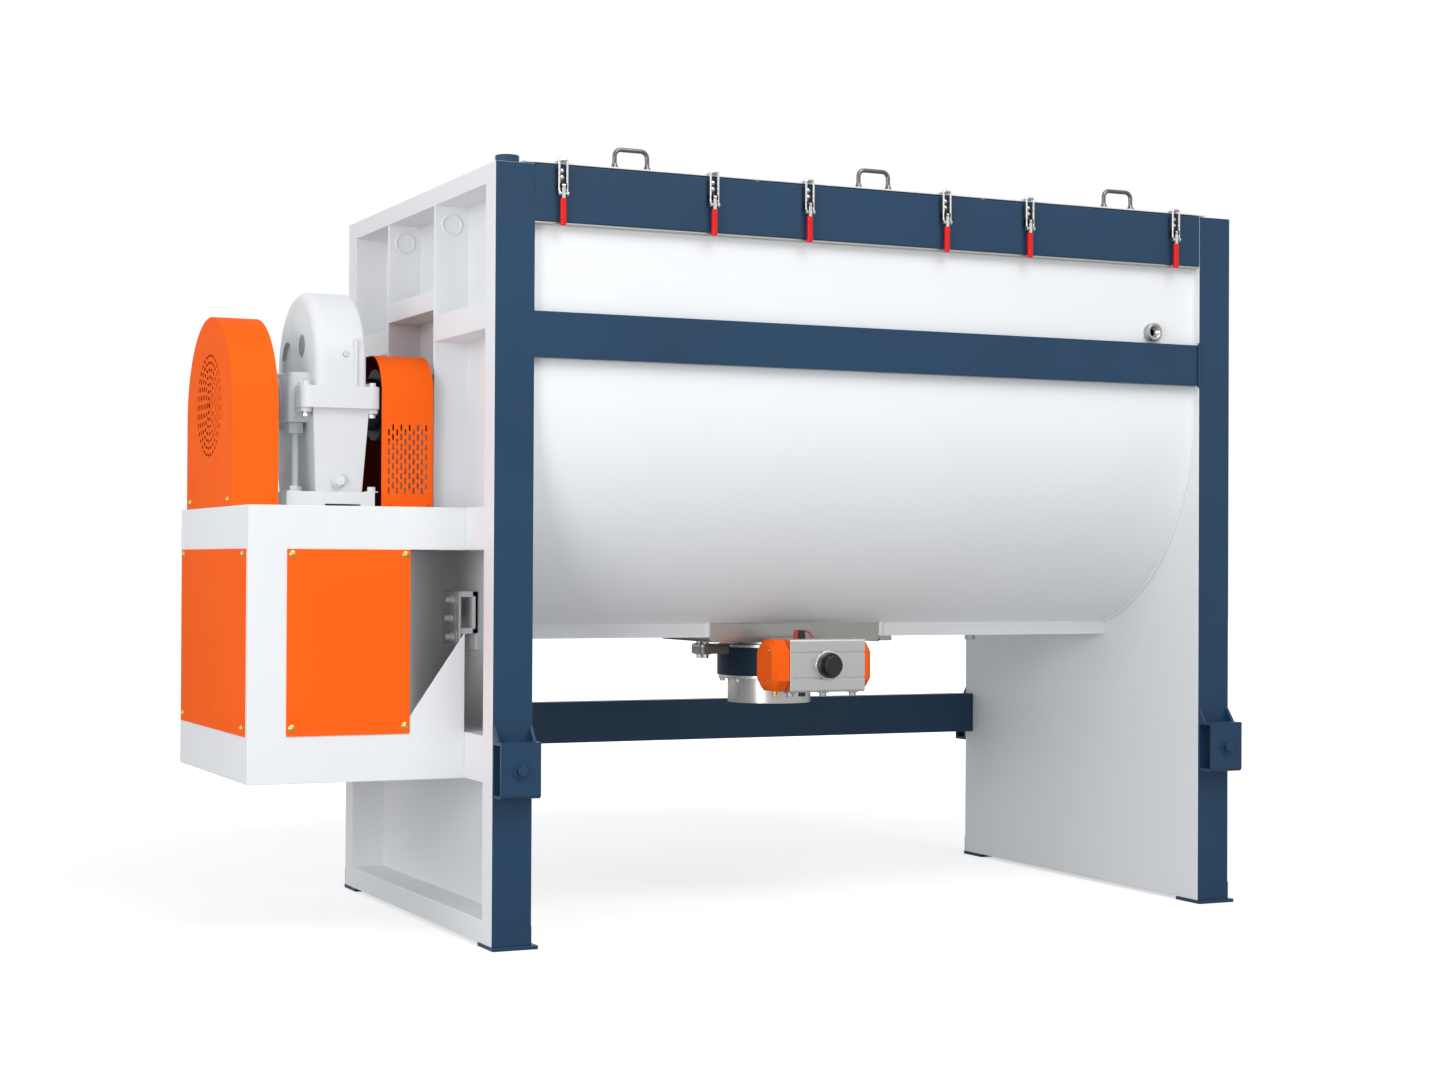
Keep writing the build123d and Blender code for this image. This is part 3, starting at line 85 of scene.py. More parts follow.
# %% Place the camera
CAMERA_PLACE = Vector((-2.8984, -6.3694, 0.9792))
CAMERA_YAW = 0.4389
CAMERA_PITCH = 0.0091
CAMERA_ROLL = 0.0049
FOCAL_PIXELS = 2391.4
IMAGE_WIDTH = 1448
SENSOR_WIDTH = 36.0

camera_data = bpy.data.cameras.new("camera")
camera_data.sensor_width = SENSOR_WIDTH
camera_data.lens = SENSOR_WIDTH * FOCAL_PIXELS / IMAGE_WIDTH
camera_data.clip_end = 200.0
camera = bpy.data.objects.new("camera", camera_data)
scene.collection.objects.link(camera)
ahead = Vector((sin(CAMERA_YAW), cos(CAMERA_YAW), 0.0))
forward = cos(CAMERA_PITCH) * ahead + Vector((0.0, 0.0, sin(CAMERA_PITCH)))
level = Vector((cos(CAMERA_YAW), -sin(CAMERA_YAW), 0.0))
above = level.cross(forward)
right = cos(CAMERA_ROLL) * level + sin(CAMERA_ROLL) * above
upward = cos(CAMERA_ROLL) * above - sin(CAMERA_ROLL) * level
turn = Matrix((right, upward, -forward)).transposed()
camera.matrix_world = Matrix.Translation(CAMERA_PLACE) @ turn.to_4x4()
scene.camera = camera
print("lens", round(camera_data.lens, 2), "mm")

# %% [markdown]
# ## Studio light and floor
#
# A product picture of a white machine needs soft, even light: a large lamp above the working
# side, a weaker one from the drive end, and a pale world that fills the shadows. Camera and
# mirror rays see a pure white world, so the background is white and the metal reflects it.

# %% World and lamps
FILL_COLOUR = (0.97, 0.985, 1.0, 1.0)
FILL_STRENGTH = 0.62
PURE_WHITE = (1.0, 1.0, 1.0, 1.0)
scene.view_settings.view_transform = "Standard"


def link(tree, start, end):
    tree.links.new(start, end)


world = bpy.data.worlds.new("studio")
scene.world = world
world.use_nodes = True
sky = world.node_tree
sky.nodes.clear()
fill = sky.nodes.new("ShaderNodeBackground")
fill.inputs["Color"].default_value = FILL_COLOUR
fill.inputs["Strength"].default_value = FILL_STRENGTH
white = sky.nodes.new("ShaderNodeBackground")
white.inputs["Color"].default_value = PURE_WHITE
white.inputs["Strength"].default_value = 1.0
rays = sky.nodes.new("ShaderNodeLightPath")
seen = sky.nodes.new("ShaderNodeMath")
seen.operation = "MAXIMUM"
seen_all = sky.nodes.new("ShaderNodeMath")
seen_all.operation = "MAXIMUM"
choose = sky.nodes.new("ShaderNodeMixShader")
sky_out = sky.nodes.new("ShaderNodeOutputWorld")
link(sky, rays.outputs["Is Camera Ray"], seen.inputs[0])
link(sky, rays.outputs["Is Glossy Ray"], seen.inputs[1])
link(sky, seen.outputs[0], seen_all.inputs[0])
link(sky, rays.outputs["Is Transmission Ray"], seen_all.inputs[1])
link(sky, seen_all.outputs[0], choose.inputs[0])
link(sky, fill.outputs[0], choose.inputs[1])
link(sky, white.outputs[0], choose.inputs[2])
link(sky, choose.outputs[0], sky_out.inputs[0])


def softbox(name, place, target, size, power):
    """A square area lamp that looks at a point."""
    data = bpy.data.lights.new(name, "AREA")
    data.shape = "SQUARE"
    data.size = size
    data.energy = power
    lamp = bpy.data.objects.new(name, data)
    scene.collection.objects.link(lamp)
    lamp.location = place
    lamp.rotation_mode = "QUATERNION"
    lamp.rotation_quaternion = (Vector(target) - Vector(place)).to_track_quat("-Z", "Y")
    return lamp


softbox("key", (0.4, -5.2, 6.2), (0.3, 0.0, 1.3), 4.0, 225.0)
softbox("drive_side", (-6.0, -1.0, 3.6), (-0.5, 0.0, 1.2), 3.0, 45.0)
softbox("front_left", (-5.6, -4.6, 1.5), (0.8, 0.0, 0.9), 2.6, 142.0)

# %% [markdown]
# The floor is pale and matt, so it takes soft shadows. Further out it glows more and more for
# the camera, until it is as white as the world behind it and no horizon shows. A curved
# backdrop would do the same, but it would stand in the way when the machine is seen from behind.

# %% The floor
FLOOR_SIZE = 60.0
FLOOR_COLOUR = (0.55, 0.55, 0.55, 1.0)
GLOW_START, GLOW_END = 2.0, 5.5
NEAR_GLOW = 0.60
floor_mesh = bmesh.new()
bmesh.ops.create_grid(floor_mesh, x_segments=1, y_segments=1, size=FLOOR_SIZE / 2)
floor_data = bpy.data.meshes.new("floor")
floor_mesh.to_mesh(floor_data)
floor_mesh.free()
floor = bpy.data.objects.new("floor", floor_data)
scene.collection.objects.link(floor)
floor_paint = bpy.data.materials.new("floor")
floor_paint.use_nodes = True
tree = floor_paint.node_tree
tree.nodes.clear()
matt = tree.nodes.new("ShaderNodeBsdfDiffuse")
matt.inputs["Color"].default_value = FLOOR_COLOUR
glow = tree.nodes.new("ShaderNodeEmission")
glow.inputs["Color"].default_value = PURE_WHITE
path = tree.nodes.new("ShaderNodeLightPath")
where = tree.nodes.new("ShaderNodeTexCoord")
reach = tree.nodes.new("ShaderNodeVectorMath")
reach.operation = "LENGTH"
rise = tree.nodes.new("ShaderNodeMapRange")
rise.interpolation_type = "SMOOTHSTEP"
rise.inputs["From Min"].default_value = GLOW_START
rise.inputs["From Max"].default_value = GLOW_END
rise.inputs["To Min"].default_value = NEAR_GLOW
rise.inputs["To Max"].default_value = 1.0
lift = tree.nodes.new("ShaderNodeMath")
lift.operation = "MULTIPLY"
link(tree, where.outputs["Object"], reach.inputs[0])
link(tree, reach.outputs["Value"], rise.inputs["Value"])
link(tree, rise.outputs["Result"], lift.inputs[1])
both = tree.nodes.new("ShaderNodeAddShader")
floor_out = tree.nodes.new("ShaderNodeOutputMaterial")
link(tree, path.outputs["Is Camera Ray"], lift.inputs[0])
link(tree, lift.outputs[0], glow.inputs["Strength"])
link(tree, matt.outputs[0], both.inputs[0])
link(tree, glow.outputs[0], both.inputs[1])
link(tree, both.outputs[0], floor_out.inputs[0])
floor_data.materials.append(floor_paint)
print("floor", FLOOR_SIZE, "m wide")

# %% [markdown]
# ## Finishes
#
# Sprayed paint is never one flat number. It has a slow drift in tone, a slightly uneven sheen
# and a fine orange-peel skin. One function builds all the paints, so that they share that
# character, and each finish only gives its own colour and sheen.

# %% Paint
NOISE_LOW, NOISE_HIGH = 0.3, 0.7
DRIFT_SCALE = 2.2
SHEEN_SCALE = 14.0
PEEL_SCALE = 420.0
PEEL_DEPTH = 0.0002


def new_material(name, base, metallic, roughness):
    """A material with its Principled shader, and a noise-ready Object coordinate."""
    made = bpy.data.materials.new(name)
    made.use_nodes = True
    tree = made.node_tree
    shader = tree.nodes["Principled BSDF"]
    shader.inputs["Base Color"].default_value = (*base, 1.0)
    shader.inputs["Metallic"].default_value = metallic
    shader.inputs["Roughness"].default_value = roughness
    place = tree.nodes.new("ShaderNodeTexCoord")
    return made, tree, shader, place.outputs["Object"]


def noise(tree, vector, scale, detail=3.0, stretch=None):
    """A noise value, with its pattern stretched by a Mapping node where one is asked for."""
    if stretch is not None:
        mapping = tree.nodes.new("ShaderNodeMapping")
        mapping.inputs["Scale"].default_value = stretch
        link(tree, vector, mapping.inputs["Vector"])
        vector = mapping.outputs["Vector"]
    texture = tree.nodes.new("ShaderNodeTexNoise")
    texture.inputs["Scale"].default_value = scale
    texture.inputs["Detail"].default_value = detail
    link(tree, vector, texture.inputs["Vector"])
    return texture.outputs["Fac"]


def spread(tree, value, low, high):
    """A noise value mapped from its usual range to low..high."""
    ramp = tree.nodes.new("ShaderNodeMapRange")
    ramp.inputs["From Min"].default_value = NOISE_LOW
    ramp.inputs["From Max"].default_value = NOISE_HIGH
    ramp.inputs["To Min"].default_value = low
    ramp.inputs["To Max"].default_value = high
    link(tree, value, ramp.inputs["Value"])
    return ramp.outputs["Result"]


def tint(tree, value, dark, light):
    """A colour between two tones, chosen by a noise value."""
    mix = tree.nodes.new("ShaderNodeMix")
    mix.data_type = "RGBA"
    mix.inputs[6].default_value = (*dark, 1.0)
    mix.inputs[7].default_value = (*light, 1.0)
    link(tree, value, mix.inputs["Factor"])
    return mix.outputs[2]


def bump(tree, shader, value, strength, distance):
    """A fine relief on the shader from a noise value."""
    relief = tree.nodes.new("ShaderNodeBump")
    relief.inputs["Strength"].default_value = strength
    relief.inputs["Distance"].default_value = distance
    link(tree, value, relief.inputs["Height"])
    link(tree, relief.outputs["Normal"], shader.inputs["Normal"])


def paint(name, colour, roughness, drift=0.04, peel=0.25, gloss=0.2):
    """Sprayed paint on steel."""
    made, tree, shader, place = new_material(name, colour, 0.0, roughness)
    slow = spread(tree, noise(tree, place, DRIFT_SCALE, 4.0), 0.0, 1.0)
    dark = [c * (1.0 - drift) for c in colour]
    light = [min(1.0, c * (1.0 + drift)) for c in colour]
    link(tree, tint(tree, slow, dark, light), shader.inputs["Base Color"])
    sheen = spread(tree, noise(tree, place, SHEEN_SCALE, 5.0), roughness - 0.05, roughness + 0.06)
    link(tree, sheen, shader.inputs["Roughness"])
    bump(tree, shader, noise(tree, place, PEEL_SCALE, 2.0), peel, PEEL_DEPTH)
    shader.inputs["Specular IOR Level"].default_value = gloss
    return made


white_paint = paint("white_paint", (0.80, 0.82, 0.84), 0.42, drift=0.012)
# The jacket has the same white paint as the frames. This lighter copy of it is painted light, for the
# brighter light that falls on the jacket.
jacket_lit_white = paint("jacket_lit_white", (0.87, 0.885, 0.90), 0.42, drift=0.012)
navy_paint = paint("navy_paint", (0.011, 0.046, 0.100), 0.36, drift=0.08, gloss=0.32)
orange_paint = paint("orange_paint", (0.96, 0.130, 0.012), 0.5, drift=0.03, gloss=0.01)
# Painted shade: a dark paint for the insides of the guards, so that their slots look dark.
guard_painted_shade = paint("guard_painted_shade", (0.15, 0.018, 0.007), 0.75, drift=0.1, gloss=0.02)
valve_paint = paint("valve_paint", (0.010, 0.026, 0.046), 0.45, drift=0.1, peel=0.5, gloss=0.12)
gear_paint = paint("gear_paint", (0.71, 0.725, 0.74), 0.38, drift=0.015, peel=0.6, gloss=0.2)
motor_paint = paint("motor_paint", (0.34, 0.37, 0.40), 0.45, drift=0.05, peel=0.6)
print("paints ready")

# %% [markdown]
# Bare metal shows how it was worked. Brushed sheet and turned bar have fine lines along one
# axis, so the noise is stretched along that axis and drives tone, sheen and a slight relief.
# Rubber and plastic have a fine grain that is the same in every direction.

# %% Metal, rubber and plastic
LINE_STRETCH = 0.02
LINE_RELIEF, LINE_DEPTH = 0.06, 0.0001
GRAIN_DEPTH = 0.0002


def metal(name, colour, roughness, streak, along, contrast=0.05):
    """Bare metal with fine lines along one axis, such as a brushed or turned surface."""
    made, tree, shader, place = new_material(name, colour, 1.0, roughness)
    stretch = [streak if axis != along else streak * LINE_STRETCH for axis in range(3)]
    lines = noise(tree, place, 1.0, 3.0, stretch)
    dark = [c * (1.0 - contrast) for c in colour]
    light = [min(1.0, c * (1.0 + contrast)) for c in colour]
    link(tree, tint(tree, spread(tree, lines, 0.0, 1.0), dark, light), shader.inputs["Base Color"])
    link(tree, spread(tree, lines, roughness * 0.9, roughness * 1.12), shader.inputs["Roughness"])
    bump(tree, shader, lines, LINE_RELIEF, LINE_DEPTH)
    return made


def moulded(name, colour, roughness, grain, strength):
    """Rubber or plastic with a fine moulded grain."""
    made, tree, shader, place = new_material(name, colour, 0.0, roughness)
    fine = noise(tree, place, grain, 3.0)
    dark = [c * 0.9 for c in colour]
    light = [min(1.0, c * 1.1) for c in colour]
    link(tree, tint(tree, spread(tree, fine, 0.0, 1.0), dark, light), shader.inputs["Base Color"])
    link(tree, spread(tree, fine, roughness - 0.05, roughness + 0.05), shader.inputs["Roughness"])
    bump(tree, shader, fine, strength, GRAIN_DEPTH)
    return made


stainless = metal("stainless", (0.56, 0.555, 0.54), 0.30, 900.0, 0)
stainless_up = metal("stainless_up", (0.66, 0.645, 0.62), 0.28, 900.0, 2, contrast=0.03)
polished = metal("polished", (0.66, 0.66, 0.655), 0.14, 500.0, 2)
handle_steel = metal("handle_steel", (0.165, 0.16, 0.152), 0.24, 500.0, 0)
# Painted shade: the clamp bases are near-black steel, for the shade in the channel between the bails.
shadow_steel = metal("shadow_steel", (0.055, 0.055, 0.06), 0.35, 500.0, 2)
# The pan is the same stainless as the trough. This darker copy is painted shade, for the shade the pan sits
# in below the trough.
pan_shaded_stainless = metal("pan_shaded_stainless", (0.40, 0.39, 0.37), 0.30, 2600.0, 0, contrast=0.03)
cast_grey = metal("cast_grey", (0.30, 0.29, 0.28), 0.45, 300.0, 1)
turned_steel = metal("turned_steel", (0.50, 0.50, 0.50), 0.26, 1200.0, 1)
aluminium = metal("aluminium", (0.61, 0.61, 0.595), 0.36, 700.0, 0, contrast=0.03)
zinc = metal("zinc", (0.45, 0.45, 0.44), 0.30, 900.0, 2)
brass = metal("brass", (0.72, 0.46, 0.13), 0.28, 900.0, 2)
dark_iron = metal("dark_iron", (0.10, 0.105, 0.11), 0.5, 300.0, 1)
rubber = moulded("rubber", (0.022, 0.022, 0.024), 0.6, 700.0, 0.3)
black_plastic = moulded("black_plastic", (0.010, 0.010, 0.011), 0.28, 900.0, 0.10)
red_grip = moulded("red_grip", (0.74, 0.006, 0.006), 0.16, 250.0, 0.04)
red_grip.node_tree.nodes["Principled BSDF"].inputs["Specular IOR Level"].default_value = 0.3
silicone = moulded("silicone", (0.74, 0.75, 0.76), 0.5, 500.0, 0.1)
red_plastic = moulded("red_plastic", (0.55, 0.03, 0.02), 0.35, 600.0, 0.1)
ledge_steel = metal("ledge_steel", (0.50, 0.485, 0.46), 0.42, 600.0, 0)
print("materials", len(bpy.data.materials))

# %% [markdown]
# ## Edges
#
# Real plate has no razor edges: a saw cut is broken with a file and paint rounds it further,
# so every edge catches a thin line of light. The machine's own parts come as loose triangles.
# We copy each one, merge it, dissolve the flat triangles into whole faces and bevel what is
# left sharp. A Bevel modifier could do it too, but it can't leave out the edges of small faces.
# The copy then stands for the part it was made from.

# %% Copies with broken edges
MERGE_DISTANCE = 0.00002
FLAT_ANGLE = radians(0.5)
SHARP_ANGLE = radians(35)
SMOOTH_ANGLE = radians(50)


def merged_copy(node):
    """The node's shape as whole faces."""
    shape = bmesh.new()
    shape.from_mesh(nodes[node].data)
    bmesh.ops.remove_doubles(shape, verts=shape.verts, dist=MERGE_DISTANCE)
    bmesh.ops.dissolve_limit(shape, angle_limit=FLAT_ANGLE, verts=shape.verts, edges=shape.edges)
    return shape


def break_edges(shape, width, segments=2, sharp=SHARP_ANGLE, smallest=0.0):
    """Bevel every edge that is sharper than an angle, unless a face beside it is too small."""
    joined = [edge for edge in shape.edges if len(edge.link_faces) == 2]
    sharp_edges = [edge for edge in joined if edge.calc_face_angle() > sharp]
    edges = [edge for edge in sharp_edges if min(face.calc_area() for face in edge.link_faces) > smallest]
    bmesh.ops.bevel(
        shape, geom=edges, offset=width, affect="EDGES", segments=segments, profile=0.5, material=-1,
        clamp_overlap=True,
    )


def make_piece(name, shape, materials, body):
    """Turn a finished shape into a smooth piece that rides on a body."""
    data = bpy.data.meshes.new(name)
    shape.to_mesh(data)
    shape.free()
    for material in materials:
        data.materials.append(material)
    data.shade_smooth()
    data.set_sharp_from_angle(angle=SMOOTH_ANGLE)
    piece = bpy.data.objects.new(name, data)
    scene.collection.objects.link(piece)
    weighted = piece.modifiers.new("weighted", "WEIGHTED_NORMAL")
    weighted.keep_sharp = True
    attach(piece, body)
    return piece


def finished(node, material, width, segments=2, smallest=0.0, second=None, takes_second=None):
    """A copy of a node with broken edges, which stands for the node. Some faces may take a second finish."""
    shape = merged_copy(node)
    break_edges(shape, width, segments, smallest=smallest)
    if second is not None:
        for face in shape.faces:
            face.material_index = 1 if takes_second(face) else 0
    finishes = [material] if second is None else [material, second]
    piece = make_piece(node + "_finished", shape, finishes, nodes[node]["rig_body"])
    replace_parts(piece, node)
    return piece


FINISHES = {
    "foot_plates": (navy_paint, 0.0015), "post_brackets": (navy_paint, 0.0025),
    "front_top_beam": (navy_paint, 0.004), "front_middle_beam": (navy_paint, 0.003),
    "rear_beams": (navy_paint, 0.003), "jacket_shell": (jacket_lit_white, 0.0015),
    "trough_shell": (stainless, 0.0015), "outlet_pan": (pan_shaded_stainless, 0.001),
    "valve_spout": (stainless_up, 0.001),
    "actuator_body": (aluminium, 0.001), "actuator_caps": (orange_paint, 0.002),
    "drive_box_frame": (white_paint, 0.002), "drive_side_panels": (orange_paint, 0.0008),
    "drive_end_panel": (orange_paint, 0.0008), "hinge_brackets": (stainless, 0.0006),
    "lid_dividers": (stainless, 0.001), "clamp_bases": (shadow_steel, 0.0004),
    "actuator_knob": (black_plastic, 0.001),
}
for lid in (1, 2, 3):
    FINISHES[f"lid_{lid}"] = (white_paint, 0.0008)
    FINISHES[f"lid_handle_{lid}"] = (handle_steel, 0.0005)
for node, (material, width) in FINISHES.items():
    finished(node, material, width)
INNER = {
    "motor_body": motor_paint, "motor_mount": white_paint, "drive_belts": rubber, "shaft_bearings": dark_iron,
    "shaft_seals": rubber, "valve_seat": rubber, "lid_gaskets": silicone, "main_shaft": turned_steel,
    "outer_ribbons": stainless, "inner_ribbons": stainless, "ribbon_arms": stainless_up,
    "output_shaft": turned_steel, "shaft_coupling": dark_iron, "driven_pulley": dark_iron,
    "motor_rotor": dark_iron, "valve_disc": stainless,
}
for clamp in range(1, 7):
    INNER[f"clamp_bail_{clamp}"] = polished
for node, material in INNER.items():
    nodes[node].data.materials.clear()
    nodes[node].data.materials.append(material)
print("finished copies", len(FINISHES), "inner nodes", len(INNER))

# %% [markdown]
# Some parts carry two finishes or many small holes. The end frames are white with blue post
# fronts, the clamp levers have a dipped red grip on a bright bar, and the valve's ears are bare
# cast metal. The insides of the guards take a dark paint as painted shade, so that their slots
# read as holes. Their slots and the small faces of the castings stay unbevelled, because only
# folds and outlines catch the light.

# %% Parts with two finishes and the perforated guards
POST_FACE = 0.6535
POST_TOP = 2.0005
GRIP_TOP = 1.9142
VALVE_RING = 0.1565
SMALL_FACE = 0.0001
BACK_DEPTH = 0.002


def post_front(face):
    """The front and back of the posts, and their caps."""
    middle = face.calc_center_median()
    return middle.z > POST_TOP or (abs(middle.y) > POST_FACE and abs(face.normal.y) > 0.6)


def bright_bar(face):
    """The part of a clamp lever above its grip."""
    return face.calc_center_median().z > GRIP_TOP


for end in ("left", "right"):
    finished(f"end_frame_{end}", white_paint, 0.002, second=navy_paint, takes_second=post_front)
for clamp in range(1, 7):
    finished(f"clamp_lever_{clamp}", red_grip, 0.0004, second=polished, takes_second=bright_bar)
valve_middle = sum(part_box("valve_body"), Vector()) / 2


def ear(face):
    """The part of the valve outside its round ring."""
    return abs(face.calc_center_median().x - valve_middle.x) > VALVE_RING


finished("valve_body", valve_paint, 0.003, second=cast_grey, takes_second=ear)
for guard in ("belt_guard", "coupling_guard"):
    guard_middle = sum(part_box(guard), Vector()) / 2
    # The faces that point inward take the painted shade.
    sheet = finished(guard, orange_paint, 0.0009, smallest=SMALL_FACE, second=guard_painted_shade,
                     takes_second=lambda face: face.normal.dot(face.calc_center_median() - guard_middle) < 0)
    if guard == "belt_guard":
        sheet.data.materials.append(white_paint)
        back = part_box(guard)[1].x - BACK_DEPTH
        for face in sheet.data.polygons:
            if face.normal.x > 0.9 and face.center.x > back:
                face.material_index = 2
for half in ("gearbox_base", "gearbox_cover"):
    finished(half, gear_paint, 0.004, smallest=SMALL_FACE)

# %% [markdown]
# ## Small shapes
#
# Bolts, screws, studs and beads all come from a few shapes: a box, a round bar, a bent bar and a
# turned profile. A bolt is two bars and a screw is one profile. Most are made at the origin, get
# their edges broken there, and are then moved to their seat, so the functions stay short.

# %% Boxes, bars, bends, turned parts, bolts and screws


def standing(seat, outward):
    """The place of a part whose own Z points outward from its seat."""
    return Matrix.Translation(Vector(seat)) @ Vector(outward).to_track_quat("Z", "Y").to_matrix().to_4x4()


def join(shape, part, place):
    """Move a finished part to its place and put it into a shape."""
    bmesh.ops.recalc_face_normals(part, faces=part.faces)
    bmesh.ops.transform(part, matrix=place, verts=part.verts)
    store = bpy.data.meshes.new("store")
    part.to_mesh(store)
    part.free()
    shape.from_mesh(store)
    bpy.data.meshes.remove(store)


def bevel(part, edges, width):
    """Round some edges of a part in two steps."""
    bmesh.ops.bevel(part, geom=edges, offset=width, affect="EDGES", segments=2, profile=0.5, material=-1)


def add_block(shape, low, high, edge=0.001):
    """A box between two corners, with broken edges."""
    low, high = Vector(low), Vector(high)
    part = bmesh.new()
    bmesh.ops.create_cube(part, size=1.0, matrix=Matrix.Diagonal((*(high - low), 1.0)))
    bevel(part, list(part.edges), edge)
    join(shape, part, Matrix.Translation((low + high) / 2))


def add_rod(shape, start, end, radius, sides=24, edge=0.0005):
    """A round or six-sided bar between two points, with broken ends."""
    start, end = Vector(start), Vector(end)
    part = bmesh.new()
    depth = (end - start).length
    bmesh.ops.create_cone(part, cap_ends=True, segments=sides, radius1=radius, radius2=radius, depth=depth)
    caps = [face for face in part.faces if len(face.verts) == sides]
    bevel(part, list({rim for face in caps for rim in face.edges}), edge)
    join(shape, part, standing((start + end) / 2, end - start))


def add_turned(shape, seat, outward, profile, steps=32):
    """A closed profile of (distance along the axis, radius), turned round its axis."""
    part = bmesh.new()
    verts = [part.verts.new((radius, 0.0, along)) for along, radius in profile]
    edges = [part.edges.new(pair) for pair in zip(verts, verts[1:])]
    bmesh.ops.spin(
        part, geom=verts + edges, cent=(0, 0, 0), axis=(0, 0, 1), angle=tau, steps=steps, use_merge=True,
    )
    bmesh.ops.remove_doubles(part, verts=part.verts, dist=0.000001)
    join(shape, part, standing(seat, outward))


def add_bend(shape, start, centre, axis, angle, radius, sides=10, steps=24):
    """A round bar that leaves its start along Z and bends round a centre."""
    part = bmesh.new()
    bmesh.ops.create_circle(part, cap_ends=False, segments=sides, radius=radius)
    bmesh.ops.translate(part, vec=Vector(start), verts=part.verts)
    ring = list(part.verts) + list(part.edges)
    bmesh.ops.spin(part, geom=ring, cent=centre, axis=axis, angle=angle, steps=steps)
    join(shape, part, Matrix.Identity(4))


def add_bolt(shape, seat, outward, across):
    """A hexagon head on its washer. The width across the flats sets the rest."""
    seat, outward = Vector(seat), Vector(outward).normalized()
    washer = seat + 0.14 * across * outward
    add_rod(shape, seat, washer, 0.95 * across, edge=0.03 * across)
    add_rod(shape, washer, washer + 0.62 * across * outward, across / sqrt(3), sides=6, edge=0.06 * across)


def add_screw(shape, seat, outward, radius):
    """A domed screw in a dished washer."""
    dish = [(0.0, 0.0), (0.0, 1.75), (0.2, 1.7), (0.45, 1.1)]
    dish += [(0.5, 1.0), (0.85, 0.85), (1.05, 0.5), (1.12, 0.0)]
    add_turned(shape, seat, outward, [(along * radius, out * radius) for along, out in dish], steps=24)


print("shape functions ready")

# %% [markdown]
# ## Drive end
#
# The sheet panels and the belt guard are held by brass screws in dished washers. The coupling
# guard has smaller ones that were painted with it. Every screw is one turned profile, placed
# from the boxes of the panels.

# %% Screws in the panels and guards
panel_low, panel_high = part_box("drive_side_panels")
end_low, end_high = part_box("drive_end_panel")
guard_low, guard_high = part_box("belt_guard")
tunnel_low, tunnel_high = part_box("coupling_guard")
SCREW_INSET = 0.0135
SCREW_RISE = 0.020
SCREW_RADIUS = 0.0055
GUARD_INSET, GUARD_RISE = 0.045, 0.017
TUNNEL_INSET, TUNNEL_RISE = 0.018, 0.012
SMALL_SCREW_RADIUS = 0.004
screws = bmesh.new()
for z in (panel_low.z + SCREW_RISE, panel_high.z - SCREW_INSET):
    for x in (panel_low.x + SCREW_INSET, panel_high.x - SCREW_INSET):
        add_screw(screws, (x, panel_low.y, z), (0, -1, 0), SCREW_RADIUS)
        add_screw(screws, (x, panel_high.y, z), (0, 1, 0), SCREW_RADIUS)
    for y in (end_low.y + 2 * SCREW_INSET, end_high.y - 2 * SCREW_INSET):
        add_screw(screws, (end_low.x, y, z), (-1, 0, 0), SCREW_RADIUS)
for y in (guard_low.y + GUARD_INSET, guard_high.y - GUARD_INSET):
    add_screw(screws, (guard_low.x, y, guard_low.z + GUARD_RISE), (-1, 0, 0), SCREW_RADIUS)
make_piece("panel_screws", screws, [brass], "root")

guard_screws = bmesh.new()
for x in (tunnel_low.x + TUNNEL_INSET, tunnel_high.x - TUNNEL_INSET):
    for y, outward in ((tunnel_low.y, (0, -1, 0)), (tunnel_high.y, (0, 1, 0))):
        add_screw(guard_screws, (x, y, tunnel_low.z + TUNNEL_RISE), outward, SMALL_SCREW_RADIUS)
make_piece("guard_screws", guard_screws, [orange_paint], "root")
print("screws placed")

# %% [markdown]
# The reducer's halves are bolted through the flange, with a round lug under each bolt, and its
# foot is bolted to the deck. A tie rod with a nut at each end stands between the input housing
# and the foot. All of it was painted with the casting, so it is one piece in the same finish.

# %% Bolts and tie rod of the reducer
cover_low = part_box("gearbox_cover")[0]
base_low, base_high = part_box("gearbox_base")
SHAFT_Z = 1.415
FLANGE_TOP = SHAFT_Z + 0.032
FLANGE_UNDER = SHAFT_Z - 0.026
LUG_UNDER = FLANGE_UNDER - 0.012
FLANGE_LEFT = -1.2365
FLANGE_RIGHT = -1.0215
FLANGE_BOLTS_X = (FLANGE_LEFT + 0.017, FLANGE_RIGHT - 0.018)
FLANGE_BOLTS_Y = (-0.196, -0.152, 0.152, 0.196)
FLANGE_BOLT = 0.016
LUG_RADIUS = 0.015
FOOT_TOP = base_low.z + 0.042
FOOT_BOLT_INSET = 0.022
FOOT_BOLTS_Y = (-0.205, 0.205)
FOOT_BOLT = 0.019
reducer_bolts = bmesh.new()
for y in FLANGE_BOLTS_Y:
    for x in FLANGE_BOLTS_X:
        add_bolt(reducer_bolts, (x, y, FLANGE_TOP), (0, 0, 1), FLANGE_BOLT)
        add_rod(reducer_bolts, (x, y, LUG_UNDER), (x, y, FLANGE_UNDER), LUG_RADIUS, edge=0.002)
for x in (base_low.x + FOOT_BOLT_INSET, base_high.x - FOOT_BOLT_INSET):
    for y in FOOT_BOLTS_Y:
        add_bolt(reducer_bolts, (x, y, FOOT_TOP), (0, 0, 1), FOOT_BOLT)
TIE_X, TIE_Y = -1.228, -0.118
HOUSING_UNDER = SHAFT_Z - 0.062
tie_foot = Vector((TIE_X, TIE_Y, FOOT_TOP))
tie_head = Vector((TIE_X, TIE_Y, HOUSING_UNDER))
add_rod(reducer_bolts, tie_foot, tie_head, 0.0095)
add_rod(reducer_bolts, tie_foot, tie_foot + Vector((0, 0, 0.016)), 0.019, sides=6, edge=0.0015)
add_rod(reducer_bolts, tie_head - Vector((0, 0, 0.03)), tie_head, 0.021, sides=6, edge=0.002)
